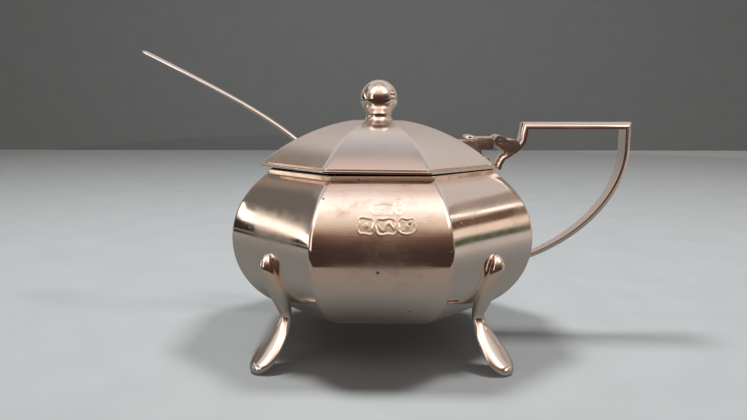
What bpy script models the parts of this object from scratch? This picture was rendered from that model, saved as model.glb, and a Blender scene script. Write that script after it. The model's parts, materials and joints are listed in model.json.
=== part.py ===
"""Eight-sided silver condiment pot with a hinged lid, strap handle, four legs, glass liner and spoon.

Metres, +Z up. The pot stands on Z = 0 and its handle points along +X. The origin is the middle of the
whole object's footprint, so the pot's own upright axis stands at X = POT_AXIS_X.
Sizes below are measured from that upright axis, unless a comment says otherwise.
"""

import math

import bmesh
import bpy
from mathutils import Matrix, Vector

MM = 0.001
GAP = 0.3 * MM                     # left between soldered or resting pieces
POT_AXIS_X = 4.1 * MM

# Body: eight panels, each bulging on one upright arc.
FACETS = 8
FACET_TURN = math.pi / FACETS
WIDEST = 30.1 * MM                 # half the width across flats
WIDEST_Z = 23.4 * MM
BULGE_RADIUS = 15.9 * MM
BULGE_END = math.radians(-70.0)    # where the panels turn in to the bottom lip
BULGE_CENTRE = WIDEST - BULGE_RADIUS
WALL = 0.8 * MM
LIP_INNER = 17.6 * MM
BASE_HALF_FLATS = 18.8 * MM

# Upright neck band that lines the mouth.
COLLAR_OUTER = 23.2 * MM
COLLAR_WALL = 0.8 * MM
COLLAR_LOW_Z = 35.0 * MM
COLLAR_TOP_Z = 37.2 * MM

# Lid, measured shut and level; LID_REST then tips it a little, as it rests on the spoon.
LID_SHIFT = -0.8 * MM              # the lid's axis lies this far from the pot's
LID_REST = math.radians(0.6)
FLANGE_HALF_FLATS = 23.6 * MM
FLANGE_INNER = 20.4 * MM
FLANGE_LOW_Z = 37.5 * MM
FLANGE_THICK = 0.4 * MM
DOME_RADIUS = 34.7 * MM
DOME_TOP_Z = 46.3 * MM
DOME_WALL = 0.7 * MM
SEAT_RADIUS = 5.6 * MM             # the dome's crown is drawn down inside this radius
SEAT_Z = 45.75 * MM

# Finial.
BALL_RADIUS = 3.9 * MM
BALL_Z = 51.15 * MM
NECK_RADIUS = 2.9 * MM
RING_RADIUS = 3.3 * MM
RING_THICK = 0.6 * MM
STUD_RADIUS = 0.6 * MM
STUD_HOLE = 1.0 * MM
NUT_THICK = 1.0 * MM
NUT_HALF_FLATS = 1.5 * MM
WASHER_THICK = 0.3 * MM
WASHER_RADIUS = 2.2 * MM

# Hinge.
HINGE_X = 24.5 * MM
HINGE_Z = 42.65 * MM
HINGE_HALF_WIDTH = 3.6 * MM
LUG_RADIUS = 1.2 * MM
LUG_HALF_WIDTH = 1.3 * MM          # half the width of the lid's middle lug
PIN_RADIUS = 0.44 * MM
PIN_BORE = 0.5 * MM
RUNNING = 0.12 * MM                # side play between lugs, and around their noses
THUMB_X = 18.3 * MM
THUMB_Z = 43.35 * MM
THUMB_HALF_DEPTH = 1.05 * MM
THUMB_HALF_HEIGHT = 0.45 * MM
BLOCK_CHAMFER = 0.35 * MM          # lets the lid's block pass the bracket as the lid opens
HUMP_X = 27.3 * MM                 # middle of the bracket's humped back
HUMP_Z = 41.5 * MM
HUMP_RADIUS = 1.5 * MM
LEAF_FOOT_X = 21.75 * MM           # where the lid's leaf comes down to the flange
TONGUE_TIP_X = 16.0 * MM
TONGUE_Z = 42.6 * MM
COVE_RADIUS = 1.75 * MM

# Handle strap.
STRAP_HALF_WIDTH = 2.2 * MM
STRAP_END_HALF_WIDTH = 1.3 * MM
STRAP_THICK = 1.5 * MM
STRAP_END_THICK = 1.1 * MM
BAR_Z = 45.8 * MM
BAR_LEFT_X = 30.0 * MM
BAR_RIGHT_X = 51.6 * MM
GRIP_STRAIGHT_Z = 41.0 * MM
STRAP_CORNER = 0.25 * MM
STRAP_ROOT = ((24.6, 37.2), (25.4, 39.1), (27.0, 40.1), (28.5, 41.2), (29.5, 42.6))    # x, z in mm
STRAP_PULLS = ((51.6, 30.6), (42.0, 20.6))    # handles of the curve down to the lower end, x, z in mm
STRAP_END_Z = 16.7 * MM
STRAP_END_ANGLE = math.radians(-24.5)    # where the lower end meets the panel's arc
SWEEP_STEPS = 22

# Glass liner.
LINER_RADIUS = 21.6 * MM
LINER_WALL = 1.3 * MM
LINER_TOP_Z = 35.4 * MM

# Spoon: its stem rises in an upright plane through the notch.
SPOON_HEADING = math.radians(165.0)
STEM_NOTCH = Vector((-15.7, 14.4, 37.6)) * MM
STEM_FAR_SLOPE = 0.455
STEM_NEAR_SLOPE = 0.95
STEM_BEND = 10.0 * MM
STEM_REACH = 46.0 * MM             # from the notch to the stem's tip, on plan
STEM_DEPTH = 16.5 * MM             # from the notch to the shoulder of the bowl, on plan
BOWL_LENGTH = 9.5 * MM             # on plan
BOWL_HALF_WIDTH = 4.1 * MM
BOWL_DEPTH = 1.7 * MM
BOWL_HALF_THICK = 0.35 * MM
STEM_HALF_WIDTH = 0.62 * MM
STEM_HALF_THICK = 0.55 * MM
STEM_FLARE = 0.75 * MM             # added to the half width by the stem's tip
NOTCH_BEARING = math.radians(135.0)
NOTCH_WIDTH = 6.4 * MM
NOTCH_INNER = 19.6 * MM

ROUND_STEPS = 48
PIN_STEPS = 24
SHARP_ANGLE = math.radians(32.0)

SILVER = ((0.83, 0.77, 0.73, 1.0), 0.16, 1.0)
WORN_SILVER = ((0.78, 0.70, 0.66, 1.0), 0.26, 1.0)
STEEL = ((0.62, 0.6, 0.57, 1.0), 0.34, 1.0)
COBALT_GLASS = ((0.01, 0.03, 0.30, 1.0), 0.05, 0.0)


def clear_scene():
    for old in list(bpy.data.objects):
        bpy.data.objects.remove(old, do_unlink=True)


def finish(name, bm, look, parent):
    """Turns a bmesh into a named, coloured and smoothly shaded piece that hangs from an empty."""
    bmesh.ops.remove_doubles(bm, verts=bm.verts, dist=0.01 * MM)
    bmesh.ops.recalc_face_normals(bm, faces=bm.faces)
    mesh = bpy.data.meshes.new(name)
    bm.to_mesh(mesh)
    bm.free()
    mesh.shade_smooth()
    mesh.set_sharp_from_angle(angle=SHARP_ANGLE)
    piece = bpy.data.objects.new(name, mesh)
    bpy.context.scene.collection.objects.link(piece)
    colour, roughness, metallic = look
    material = bpy.data.materials.new(name + "_material")
    material.use_nodes = True
    shader = material.node_tree.nodes["Principled BSDF"]
    shader.inputs["Base Color"].default_value = colour
    shader.inputs["Roughness"].default_value = roughness
    shader.inputs["Metallic"].default_value = metallic
    mesh.materials.append(material)
    if parent is not None:
        piece.parent = parent
        piece.matrix_parent_inverse = Matrix.Translation(-pivot_of(parent))
    return piece


def pivot_of(empty):
    """Where an empty stands, measured from the pot's axis on the table."""
    return Vector(empty["pivot"])


def add_empty(name, pivot, parent=None):
    empty = bpy.data.objects.new(name, None)
    bpy.context.scene.collection.objects.link(empty)
    empty["pivot"] = tuple(pivot)
    if parent is None:
        empty.location = pivot
    else:
        empty.parent = parent
        empty.location = Vector(pivot) - pivot_of(parent)
    return empty


def hide_cutter(cutter):
    cutter.hide_render = True
    cutter.display_type = "WIRE"
    return cutter


def cut(piece, cutter):
    tool = piece.modifiers.new("cut_" + cutter.name, "BOOLEAN")
    tool.operation = "DIFFERENCE"
    tool.solver = "EXACT"
    tool.object = cutter


def spun(profile, steps, start=0.0, closed=True, centre_x=0.0):
    """Spins (radius, z) points about an upright axis; a closed profile is a ring's cross-section."""
    bm = bmesh.new()
    around = Matrix.Rotation(start, 3, "Z")
    verts = [bm.verts.new(around @ Vector((r, 0.0, z))) for r, z in profile]
    edges = [bm.edges.new(pair) for pair in zip(verts, verts[1:])]
    if closed:
        edges.append(bm.edges.new((verts[-1], verts[0])))
    bmesh.ops.spin(
        bm, geom=verts + edges, cent=(0, 0, 0), axis=(0, 0, 1), angle=math.tau, steps=steps
    )
    bmesh.ops.remove_doubles(bm, verts=bm.verts, dist=0.01 * MM)
    bmesh.ops.translate(bm, verts=bm.verts, vec=(centre_x, 0, 0))
    return bm


def faceted(profile, closed=True, centre_x=0.0):
    """An eight-sided form from (half width across flats, z) points."""
    corner = 1.0 / math.cos(FACET_TURN)
    points = [(r * corner, z) for r, z in profile]
    return spun(points, FACETS, FACET_TURN, closed, centre_x)


def arc(centre, radius, start, end, steps):
    """Points on an arc from the start angle to the end angle, both included."""
    angles = [start + (end - start) * i / steps for i in range(steps + 1)]
    return [(centre[0] + radius * math.cos(a), centre[1] + radius * math.sin(a)) for a in angles]


def wall_arc(offset, top_half_flats, steps, end=BULGE_END):
    """The body's upright curve, moved outwards by offset, from a given width at its top to its bottom."""
    radius = BULGE_RADIUS + offset
    start = math.acos((top_half_flats - BULGE_CENTRE) / radius)
    return arc((BULGE_CENTRE, WIDEST_Z), radius, start, end, steps)


def extruded(outline, low_y, high_y):
    """A plate with an (x, z) outline, from low_y to high_y."""
    bm = bmesh.new()
    face = bm.faces.new([bm.verts.new((x, low_y, z)) for x, z in outline])
    grown = bmesh.ops.extrude_face_region(bm, geom=[face])["geom"]
    moved = [part for part in grown if isinstance(part, bmesh.types.BMVert)]
    bmesh.ops.translate(bm, verts=moved, vec=(0, high_y - low_y, 0))
    return bm


def lofted(rings):
    """A closed body through rings of points, with flat ends."""
    bm = bmesh.new()
    loops = [[bm.verts.new(point) for point in ring] for ring in rings]
    count = len(loops[0])
    for low, high in zip(loops, loops[1:]):
        for i in range(count):
            j = (i + 1) % count
            bm.faces.new((low[i], low[j], high[j], high[i]))
    bm.faces.new(loops[0])
    bm.faces.new(loops[-1])
    return bm


def smooth_path(stations, per_span):
    """Catmull-Rom points through stations, each a tuple of numbers."""
    rows = [Vector(station) for station in stations]
    rows = [2 * rows[0] - rows[1]] + rows + [2 * rows[-1] - rows[-2]]
    points = []
    for a, b, c, d in zip(rows, rows[1:], rows[2:], rows[3:]):
        for i in range(per_span):
            t = i / per_span
            square = (2 * a - 5 * b + 4 * c - d) * t**2
            cube = (3 * b - a - 3 * c + d) * t**3
            points.append(0.5 * (2 * b + (c - a) * t + square + cube))
    points.append(rows[-2])
    return points


def make_body(pot):
    """The bulging shell, open at the mouth and, inside its turned-in lip, at the bottom."""
    mouth = COLLAR_OUTER + GAP
    profile = wall_arc(0.0, mouth, 24)
    lip_low_z = profile[-1][1]
    profile += [(LIP_INNER, lip_low_z), (LIP_INNER, lip_low_z + WALL)]
    profile += reversed(wall_arc(-WALL, mouth, 20))
    finish("body_shell", faceted(profile), SILVER, pot)
    plate_low_z = lip_low_z + WALL + GAP
    plate = [(0.0, plate_low_z), (BASE_HALF_FLATS, plate_low_z)]
    plate += [(BASE_HALF_FLATS, plate_low_z + WALL), (0.0, plate_low_z + WALL)]
    finish("base_plate", faceted(plate, closed=False), WORN_SILVER, pot)
    inner = COLLAR_OUTER - COLLAR_WALL
    collar = [(COLLAR_OUTER, COLLAR_TOP_Z), (COLLAR_OUTER, COLLAR_LOW_Z)]
    collar += [(inner, COLLAR_LOW_Z), (inner, COLLAR_TOP_Z)]
    finish("neck_collar", faceted(collar), SILVER, pot)
    return plate_low_z + WALL


def make_liner(pot, floor_z):
    """A straight-sided glass cup with a rounded foot, standing on the base plate."""
    foot_z = floor_z + GAP
    bend = 2.4 * MM
    rim = LINER_WALL / 2
    inside = LINER_RADIUS - LINER_WALL
    profile = [(0.0, foot_z)]
    profile += arc((LINER_RADIUS - bend, foot_z + bend), bend, -math.pi / 2, 0.0, 5)
    profile += arc((LINER_RADIUS - rim, LINER_TOP_Z - rim), rim, 0.0, math.pi, 6)
    profile += reversed(
        arc((inside - bend + LINER_WALL, foot_z + bend + 0.3 * MM), bend - LINER_WALL, -math.pi / 2, 0.0, 4)
    )
    profile += [(0.0, foot_z + LINER_WALL + 0.3 * MM)]
    finish("glass_liner", spun(profile, ROUND_STEPS, closed=False), COBALT_GLASS, pot)


LEG_STATIONS = (
    # (distance from the pot's axis, z, half thickness, half width), from the knuckle down to the toe
    (30.4, 22.0, 0.5, 0.7),
    (30.7, 21.2, 1.3, 1.6),
    (30.4, 19.8, 1.65, 2.1),
    (29.3, 17.9, 1.7, 2.1),
    (27.9, 15.1, 1.55, 1.8),
    (26.8, 12.5, 1.3, 1.5),
    (26.3, 10.4, 1.1, 1.3),
    (26.5, 8.8, 1.05, 1.35),
    (27.5, 7.0, 1.05, 2.1),
    (29.2, 5.0, 1.1, 2.8),
    (30.9, 3.1, 1.15, 3.1),
    (32.3, 1.6, 1.1, 2.8),
    (33.3, 0.7, 1.0, 2.1),
    (34.0, 0.6, 0.7, 1.3),
    (34.4, 0.7, 0.3, 0.5),
)
LEG_SIDES = 12


def leg_body():
    """A cabriole leg in the plane y = 0, with oval sections square to its curve."""
    rows = smooth_path([[value * MM for value in station] for station in LEG_STATIONS], 3)
    rings = []
    for index, row in enumerate(rows):
        before = rows[max(index - 1, 0)]
        after = rows[min(index + 1, len(rows) - 1)]
        along = Vector((after[0] - before[0], 0.0, after[1] - before[1])).normalized()
        across = Vector((-along.z, 0.0, along.x))
        ring = []
        for side in range(LEG_SIDES):
            turn = math.tau * side / LEG_SIDES
            point = Vector((row[0], 0.0, row[1])) + across * row[2] * math.cos(turn)
            ring.append(point + Vector((0.0, row[3] * math.sin(turn), 0.0)))
        rings.append(ring)
    return lofted(rings)


def make_legs(pot):
    """Four legs on the diagonal panels, each trimmed to the panel's curve and to the table."""
    profile = [(0.0, COLLAR_TOP_Z)] + wall_arc(GAP, COLLAR_OUTER, 24)
    profile += [(0.0, profile[-1][1])]
    envelope = finish("body_envelope", faceted(profile, closed=False), SILVER, pot)
    table = bmesh.new()
    bmesh.ops.create_cube(table, size=1.0)
    bmesh.ops.scale(table, vec=(100 * MM, 100 * MM, 10 * MM), verts=table.verts)
    bmesh.ops.translate(table, vec=(0, 0, -5 * MM), verts=table.verts)
    floor = finish("floor_cutter", table, SILVER, pot)
    places = {"leg_front_left": -135, "leg_front_right": -45, "leg_back_right": 45, "leg_back_left": 135}
    for cutter in (envelope, floor):
        hide_cutter(cutter)
    for name, bearing in places.items():
        bm = leg_body()
        bmesh.ops.rotate(bm, verts=bm.verts, matrix=Matrix.Rotation(math.radians(bearing), 3, "Z"))
        leg = finish(name, bm, SILVER, pot)
        cut(leg, envelope)
        cut(leg, floor)


def bezier(a, b, c, d, steps):
    """Points of a cubic curve, leaving out the first."""
    points = []
    for i in range(1, steps + 1):
        t = i / steps
        weights = ((1 - t) ** 3, 3 * t * (1 - t) ** 2, 3 * t**2 * (1 - t), t**3)
        points.append(tuple(sum(w * p[k] for w, p in zip(weights, (a, b, c, d))) for k in (0, 1)))
    return points


def strap_line():
    """The middle line of the handle's strap in (x, z), from its root on the shoulder to its lower end."""
    wall_x = BULGE_CENTRE + BULGE_RADIUS * math.cos(STRAP_END_ANGLE)
    root = [(x * MM, z * MM) for x, z in STRAP_ROOT]
    upper_pull, lower_pull = [(x * MM, z * MM) for x, z in STRAP_PULLS]
    bar = [(BAR_LEFT_X, BAR_Z), (BAR_RIGHT_X, BAR_Z)]
    straight = (BAR_RIGHT_X, GRIP_STRAIGHT_Z)
    low_end = (wall_x + GAP + 0.35 * MM, STRAP_END_Z)
    sweep = bezier(straight, upper_pull, lower_pull, low_end, SWEEP_STEPS)
    return root + bar + [straight] + sweep


def strap_rings(extra=0.0):
    """Rectangular sections along the strap, mitred at its corners; extra grows them all round."""
    line = [Vector((x, 0.0, z)) for x, z in strap_line()]
    taper_from = len(line) - 1 - SWEEP_STEPS
    rings = []
    for index, point in enumerate(line):
        arriving = (point - line[index - 1]).normalized() if index else None
        leaving = (line[index + 1] - point).normalized() if index < len(line) - 1 else arriving
        arriving = arriving or leaving
        along = (arriving + leaving).normalized()
        across = Vector((-along.z, 0.0, along.x))
        mitre = 1.0 / max(along.dot(leaving), 0.5)
        fade = max(0.0, (index - taper_from) / (len(line) - 1 - taper_from))
        half_thick = (STRAP_THICK + (STRAP_END_THICK - STRAP_THICK) * fade) / 2 + extra
        half_wide = STRAP_HALF_WIDTH + (STRAP_END_HALF_WIDTH - STRAP_HALF_WIDTH) * fade + extra
        ring = []
        for side_x, side_y in ((1, 1), (-1, 1), (-1, -1), (1, -1)):
            chamfer = [(half_thick, half_wide - STRAP_CORNER), (half_thick - STRAP_CORNER, half_wide)]
            if side_x * side_y < 0:
                chamfer.reverse()
            for depth, width in chamfer:
                ring.append(point + across * side_x * depth * mitre + Vector((0.0, side_y * width, 0.0)))
        rings.append(ring)
    return rings


def make_handle(pot):
    """The strap, and a slightly larger copy of it that makes room in the hinge bracket."""
    finish("handle_strap", lofted(strap_rings()), SILVER, pot)
    return finish("strap_envelope", lofted(strap_rings(GAP)), SILVER, pot)


def hinge_rod(name, radius, half_width, look, parent):
    """A round rod on the hinge's axis."""
    bm = bmesh.new()
    bmesh.ops.create_cone(
        bm, segments=PIN_STEPS, radius1=radius, radius2=radius, depth=2 * half_width, cap_ends=True
    )
    bmesh.ops.rotate(bm, verts=bm.verts, matrix=Matrix.Rotation(math.pi / 2, 3, "X"))
    bmesh.ops.translate(bm, verts=bm.verts, vec=(HINGE_X, 0, HINGE_Z))
    return finish(name, bm, look, parent)


def lug_nose(radius, start, end, steps=10):
    return arc((HINGE_X, HINGE_Z), radius, start, end, steps)


def make_bracket(pot, strap_envelope, bore):
    """The fixed hinge block: two lugs around the pin, a humped back, and cheeks that straddle the strap."""
    outline = lug_nose(LUG_RADIUS, math.radians(75), math.radians(250), 14)
    outline += [(25.6 * MM, 40.4 * MM), (27.4 * MM, 39.9 * MM)]
    outline += arc((HUMP_X, HUMP_Z), HUMP_RADIUS, math.radians(-70), math.radians(95), 9)
    outline += [(26.4 * MM, 42.85 * MM), (25.95 * MM, 43.0 * MM)]
    outline += [(25.6 * MM, 43.4 * MM), (25.2 * MM, 43.7 * MM)]
    bm = extruded(outline, -HINGE_HALF_WIDTH, HINGE_HALF_WIDTH)
    bracket = finish("hinge_bracket", bm, SILVER, pot)
    clear = LUG_RADIUS + RUNNING
    slot = [(HINGE_X - 2 * clear, HINGE_Z - 2 * clear), (HINGE_X, HINGE_Z - 2 * clear)]
    slot += lug_nose(clear, -math.pi / 2, 0.0, 10)
    slot += [(HINGE_X + clear, HINGE_Z + 2 * clear), (HINGE_X - 2 * clear, HINGE_Z + 2 * clear)]
    half_slot = LUG_HALF_WIDTH + RUNNING
    slot_cutter = finish("lug_slot", extruded(slot, -half_slot, half_slot), SILVER, pot)
    cut(bracket, hide_cutter(slot_cutter))
    cut(bracket, hide_cutter(strap_envelope))
    cut(bracket, bore)


def dome_z(half_flats):
    """Height of the level lid's outside, at a half width across flats."""
    return DOME_TOP_Z - DOME_RADIUS + math.sqrt(DOME_RADIUS**2 - half_flats**2)


def make_lid_arm(lid, bore):
    """The moving hinge leaf: a tongue on the dome, a block, the middle lug, and a coved foot on the flange."""
    foot_z = FLANGE_LOW_Z + FLANGE_THICK + GAP
    under_steps = 6
    under = []
    for i in range(under_steps + 1):
        x = TONGUE_TIP_X + (LEAF_FOOT_X - 0.2 * MM - TONGUE_TIP_X) * i / under_steps
        under.append((x, dome_z(x - LID_SHIFT) + GAP))
    block_right = HINGE_X - LUG_RADIUS - RUNNING
    block_low_z = HINGE_Z - 1.9 * MM
    block_top_z = HINGE_Z + 0.7 * MM
    outline = [(LEAF_FOOT_X, foot_z)] + list(reversed(under))
    outline += [(TONGUE_TIP_X - 0.1 * MM, TONGUE_Z - 0.1 * MM), (TONGUE_TIP_X + 0.5 * MM, TONGUE_Z)]
    outline += [(19.2 * MM, TONGUE_Z), (19.9 * MM, block_top_z)]
    outline += [(block_right - BLOCK_CHAMFER, block_top_z), (block_right, block_top_z - BLOCK_CHAMFER)]
    outline += [(block_right, block_low_z), (20.7 * MM, block_low_z)]
    cove = (22.4 * MM, block_low_z + 0.1 * MM)
    outline += arc(cove, COVE_RADIUS, math.radians(200), math.radians(270), 5)
    outline += [(22.5 * MM, foot_z)]
    sides = HINGE_HALF_WIDTH - 0.1 * MM
    arm = finish("lid_hinge_arm", extruded(outline, -sides, sides), SILVER, lid)
    neck = [(block_right - 1.0 * MM, HINGE_Z - 0.75 * MM)]
    neck += lug_nose(LUG_RADIUS, math.radians(-110), math.radians(100), 14)
    neck += [(block_right - 1.0 * MM, HINGE_Z + 0.6 * MM)]
    lug = finish("middle_lug", extruded(neck, -LUG_HALF_WIDTH, LUG_HALF_WIDTH), SILVER, lid)
    join = arm.modifiers.new("join_lug", "BOOLEAN")
    join.operation = "UNION"
    join.solver = "EXACT"
    join.object = hide_cutter(lug)
    cut(arm, bore)


def make_thumbpiece(lid):
    """A low cushion-shaped bar across the tongue, for the thumb."""
    rings = []
    for y, scale in ((-3.1, 0.45), (-2.9, 0.85), (-2.4, 1.0), (2.4, 1.0), (2.9, 0.85), (3.1, 0.45)):
        ring = []
        for side in range(16):
            turn = math.tau * side / 16
            x = THUMB_X + THUMB_HALF_DEPTH * scale * math.cos(turn)
            z = THUMB_Z + THUMB_HALF_HEIGHT * scale * math.sin(turn)
            ring.append((x, y * MM, z))
        rings.append(ring)
    finish("thumbpiece", lofted(rings), SILVER, lid)


def make_lid(lid):
    """Flange and dome, both eight-sided, with a notch for the spoon that is open at the flange's edge."""
    flange_top = FLANGE_LOW_Z + FLANGE_THICK
    flange = [(FLANGE_HALF_FLATS, flange_top), (FLANGE_HALF_FLATS, FLANGE_LOW_Z)]
    flange += [(FLANGE_INNER, FLANGE_LOW_Z), (FLANGE_INNER, flange_top)]
    flange_piece = finish("lid_flange", faceted(flange, centre_x=LID_SHIFT), SILVER, lid)
    inner = DOME_RADIUS - DOME_WALL
    centre = (0.0, DOME_TOP_Z - DOME_RADIUS)
    foot_z = flange_top + GAP
    low = math.asin((foot_z - centre[1]) / DOME_RADIUS)
    low_inside = math.asin((foot_z - centre[1]) / inner)
    shoulder = math.acos(SEAT_RADIUS / DOME_RADIUS)
    shoulder_inside = math.acos(SEAT_RADIUS / inner)
    seat_edge = RING_RADIUS + 0.6 * MM
    profile = arc(centre, DOME_RADIUS, low, shoulder, 18)
    profile += [(seat_edge, SEAT_Z + 0.06 * MM), (STUD_HOLE, SEAT_Z), (STUD_HOLE, SEAT_Z - DOME_WALL)]
    profile += [(seat_edge, SEAT_Z + 0.06 * MM - DOME_WALL)]
    profile += arc(centre, inner, shoulder_inside, low_inside, 14)
    dome = finish("lid_dome", faceted(profile, centre_x=LID_SHIFT), SILVER, lid)
    half = NOTCH_WIDTH / 2
    slot = [(FLANGE_HALF_FLATS + 4 * MM, -half), (FLANGE_HALF_FLATS + 4 * MM, half)]
    slot += arc((NOTCH_INNER + half, 0.0), half, math.pi / 2, 1.5 * math.pi, 12)
    bm = bmesh.new()
    face = bm.faces.new([bm.verts.new((r, t, 36.0 * MM)) for r, t in slot])
    grown = bmesh.ops.extrude_face_region(bm, geom=[face])["geom"]
    moved = [part for part in grown if isinstance(part, bmesh.types.BMVert)]
    bmesh.ops.translate(bm, verts=moved, vec=(0, 0, 6 * MM))
    bmesh.ops.rotate(bm, verts=bm.verts, matrix=Matrix.Rotation(NOTCH_BEARING, 3, "Z"))
    notch = hide_cutter(finish("spoon_notch", bm, SILVER, lid))
    cut(flange_piece, notch)
    cut(dome, notch)


def make_finial(lid):
    """Ball, necked collar with its base ring, and the stud, washer and nut that hold them on."""
    ring_low = SEAT_Z + GAP
    ring_top = ring_low + RING_THICK
    ball_cut_z = BALL_Z - math.sqrt(BALL_RADIUS**2 - NECK_RADIUS**2)
    collar = [(RING_RADIUS - 0.1 * MM, ring_low)]
    collar += arc((RING_RADIUS - RING_THICK / 2, ring_low + RING_THICK / 2), RING_THICK / 2, -1.1, 1.2, 5)
    collar += [(NECK_RADIUS - 0.1 * MM, ring_top + 0.05 * MM), (NECK_RADIUS, ring_top + 0.3 * MM)]
    collar += [(NECK_RADIUS, ball_cut_z - GAP), (STUD_HOLE, ball_cut_z - GAP), (STUD_HOLE, ring_low)]
    finish("finial_collar", spun(collar, ROUND_STEPS, centre_x=LID_SHIFT), SILVER, lid)
    cut_angle = -math.acos(NECK_RADIUS / BALL_RADIUS)
    ball = [(STUD_HOLE, ball_cut_z)]
    ball += arc((0.0, BALL_Z), BALL_RADIUS, cut_angle, math.pi / 2 - 0.02, 20) + [(0.0, BALL_Z + BALL_RADIUS)]
    ball += [(0.0, BALL_Z), (STUD_HOLE, BALL_Z - 0.6 * MM)]
    ball_mesh = spun(ball + [ball[0]], ROUND_STEPS, closed=False, centre_x=LID_SHIFT)
    finish("finial_ball", ball_mesh, SILVER, lid)
    washer_top = SEAT_Z - DOME_WALL - GAP
    washer_low = washer_top - WASHER_THICK
    washer = [(WASHER_RADIUS, washer_top), (WASHER_RADIUS, washer_low)]
    washer += [(STUD_HOLE, washer_low), (STUD_HOLE, washer_top)]
    finish("finial_washer", spun(washer, ROUND_STEPS, centre_x=LID_SHIFT), WORN_SILVER, lid)
    nut_top = washer_low - GAP / 2
    nut_low = nut_top - NUT_THICK
    corner = NUT_HALF_FLATS / math.cos(math.pi / 6)
    nut = [(corner, nut_top), (corner, nut_low), (STUD_HOLE, nut_low), (STUD_HOLE, nut_top)]
    finish("finial_nut", spun(nut, 6, centre_x=LID_SHIFT), WORN_SILVER, lid)
    stud_low = nut_low - 0.8 * MM
    stud_top = BALL_Z - 1.2 * MM
    stud = [(0.0, stud_low), (STUD_RADIUS - 0.15 * MM, stud_low), (STUD_RADIUS, stud_low + 0.15 * MM)]
    stud += [(STUD_RADIUS, stud_top), (0.0, stud_top)]
    finish("finial_stud", spun(stud, 24, closed=False, centre_x=LID_SHIFT), STEEL, lid)


def stem_height(reach):
    """The stem's z at a distance from the notch on plan; negative is inside the pot."""
    if reach < 0.0:
        return STEM_NOTCH.z + STEM_NEAR_SLOPE * reach
    rise = (STEM_NEAR_SLOPE - STEM_FAR_SLOPE) * STEM_BEND * (1.0 - math.exp(-reach / STEM_BEND))
    return STEM_NOTCH.z + STEM_FAR_SLOPE * reach + rise


def make_spoon(holder):
    """A small condiment spoon in one body: an oval bowl, a thin stem, and a wider rounded end."""
    heading = Vector((math.cos(SPOON_HEADING), math.sin(SPOON_HEADING), 0.0))
    side = Vector((-heading.y, heading.x, 0.0))
    low_end = -STEM_DEPTH - BOWL_LENGTH
    stations = []
    bowl_steps = 14
    for i in range(bowl_steps + 1):
        t = i / bowl_steps
        oval = math.sqrt(max(0.0, 1.0 - (1.0 - 2.0 * min(t, 0.98)) ** 2))
        half_width = max(BOWL_HALF_THICK, BOWL_HALF_WIDTH * oval)
        stations.append((low_end + BOWL_LENGTH * t, half_width, BOWL_HALF_THICK, BOWL_DEPTH * oval))
    stations[-1] = (-STEM_DEPTH, 1.1 * MM, 0.5 * MM, 0.15 * MM)
    stem_steps = 30
    for i in range(1, stem_steps + 1):
        t = i / stem_steps
        reach = -STEM_DEPTH + (STEM_REACH + STEM_DEPTH) * t
        flare = max(0.0, (t - 0.55) / 0.45)
        half_width = STEM_HALF_WIDTH + STEM_FLARE * flare
        half_thick = STEM_HALF_THICK - 0.1 * MM * flare
        if i == stem_steps:
            half_width *= 0.55
            half_thick *= 0.6
        stations.append((reach, half_width, half_thick, 0.0))
    stations.insert(-1, (STEM_REACH - 0.5 * MM, 1.25 * MM, 0.46 * MM, 0.0))
    rings = []
    for reach, half_width, half_thick, dish in stations:
        step = 0.2 * MM
        along = heading * 2 * step + Vector((0, 0, stem_height(reach + step) - stem_height(reach - step)))
        up = side.cross(along.normalized())
        up = up if up.z > 0 else -up
        middle = Vector((STEM_NOTCH.x, STEM_NOTCH.y, 0.0)) + heading * reach
        middle.z = stem_height(reach)
        ring = []
        for i in range(16):
            turn = math.tau * i / 16
            across = math.cos(turn)
            sink = dish * (1.0 - across * across)
            lift = half_thick * math.sin(turn) - sink
            ring.append(middle + side * half_width * across + up * lift)
        rings.append(ring)
    finish("spoon", lofted(rings), SILVER, holder)


def main():
    clear_scene()
    pot = add_empty("pot_axis", (0.0, 0.0, 0.0))
    pot.location = (POT_AXIS_X, 0.0, 0.0)
    lid = add_empty("lid_hinge_axis", (HINGE_X, 0.0, HINGE_Z), pot)
    lid.rotation_euler = (0.0, LID_REST, 0.0)
    spoon_holder = add_empty("spoon_at_notch", STEM_NOTCH, pot)
    floor_z = make_body(pot)
    make_liner(pot, floor_z)
    make_legs(pot)
    strap_envelope = make_handle(pot)
    bore = hide_cutter(hinge_rod("pin_bore", PIN_BORE, 2 * HINGE_HALF_WIDTH, SILVER, pot))
    make_bracket(pot, strap_envelope, bore)
    hinge_rod("hinge_pin", PIN_RADIUS, HINGE_HALF_WIDTH, WORN_SILVER, pot)
    make_lid(lid)
    make_lid_arm(lid, bore)
    make_thumbpiece(lid)
    make_finial(lid)
    make_spoon(spoon_holder)


main()
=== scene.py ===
"""Finished looks for the eight-sided silver condiment pot: body, domed lid, legs, handle and spoon."""

import json
import logging
import math
from collections.abc import Callable
from dataclasses import dataclass, field
from enum import Enum

import bmesh
import bpy
import numpy as np
from mathutils import Matrix, Vector


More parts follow.
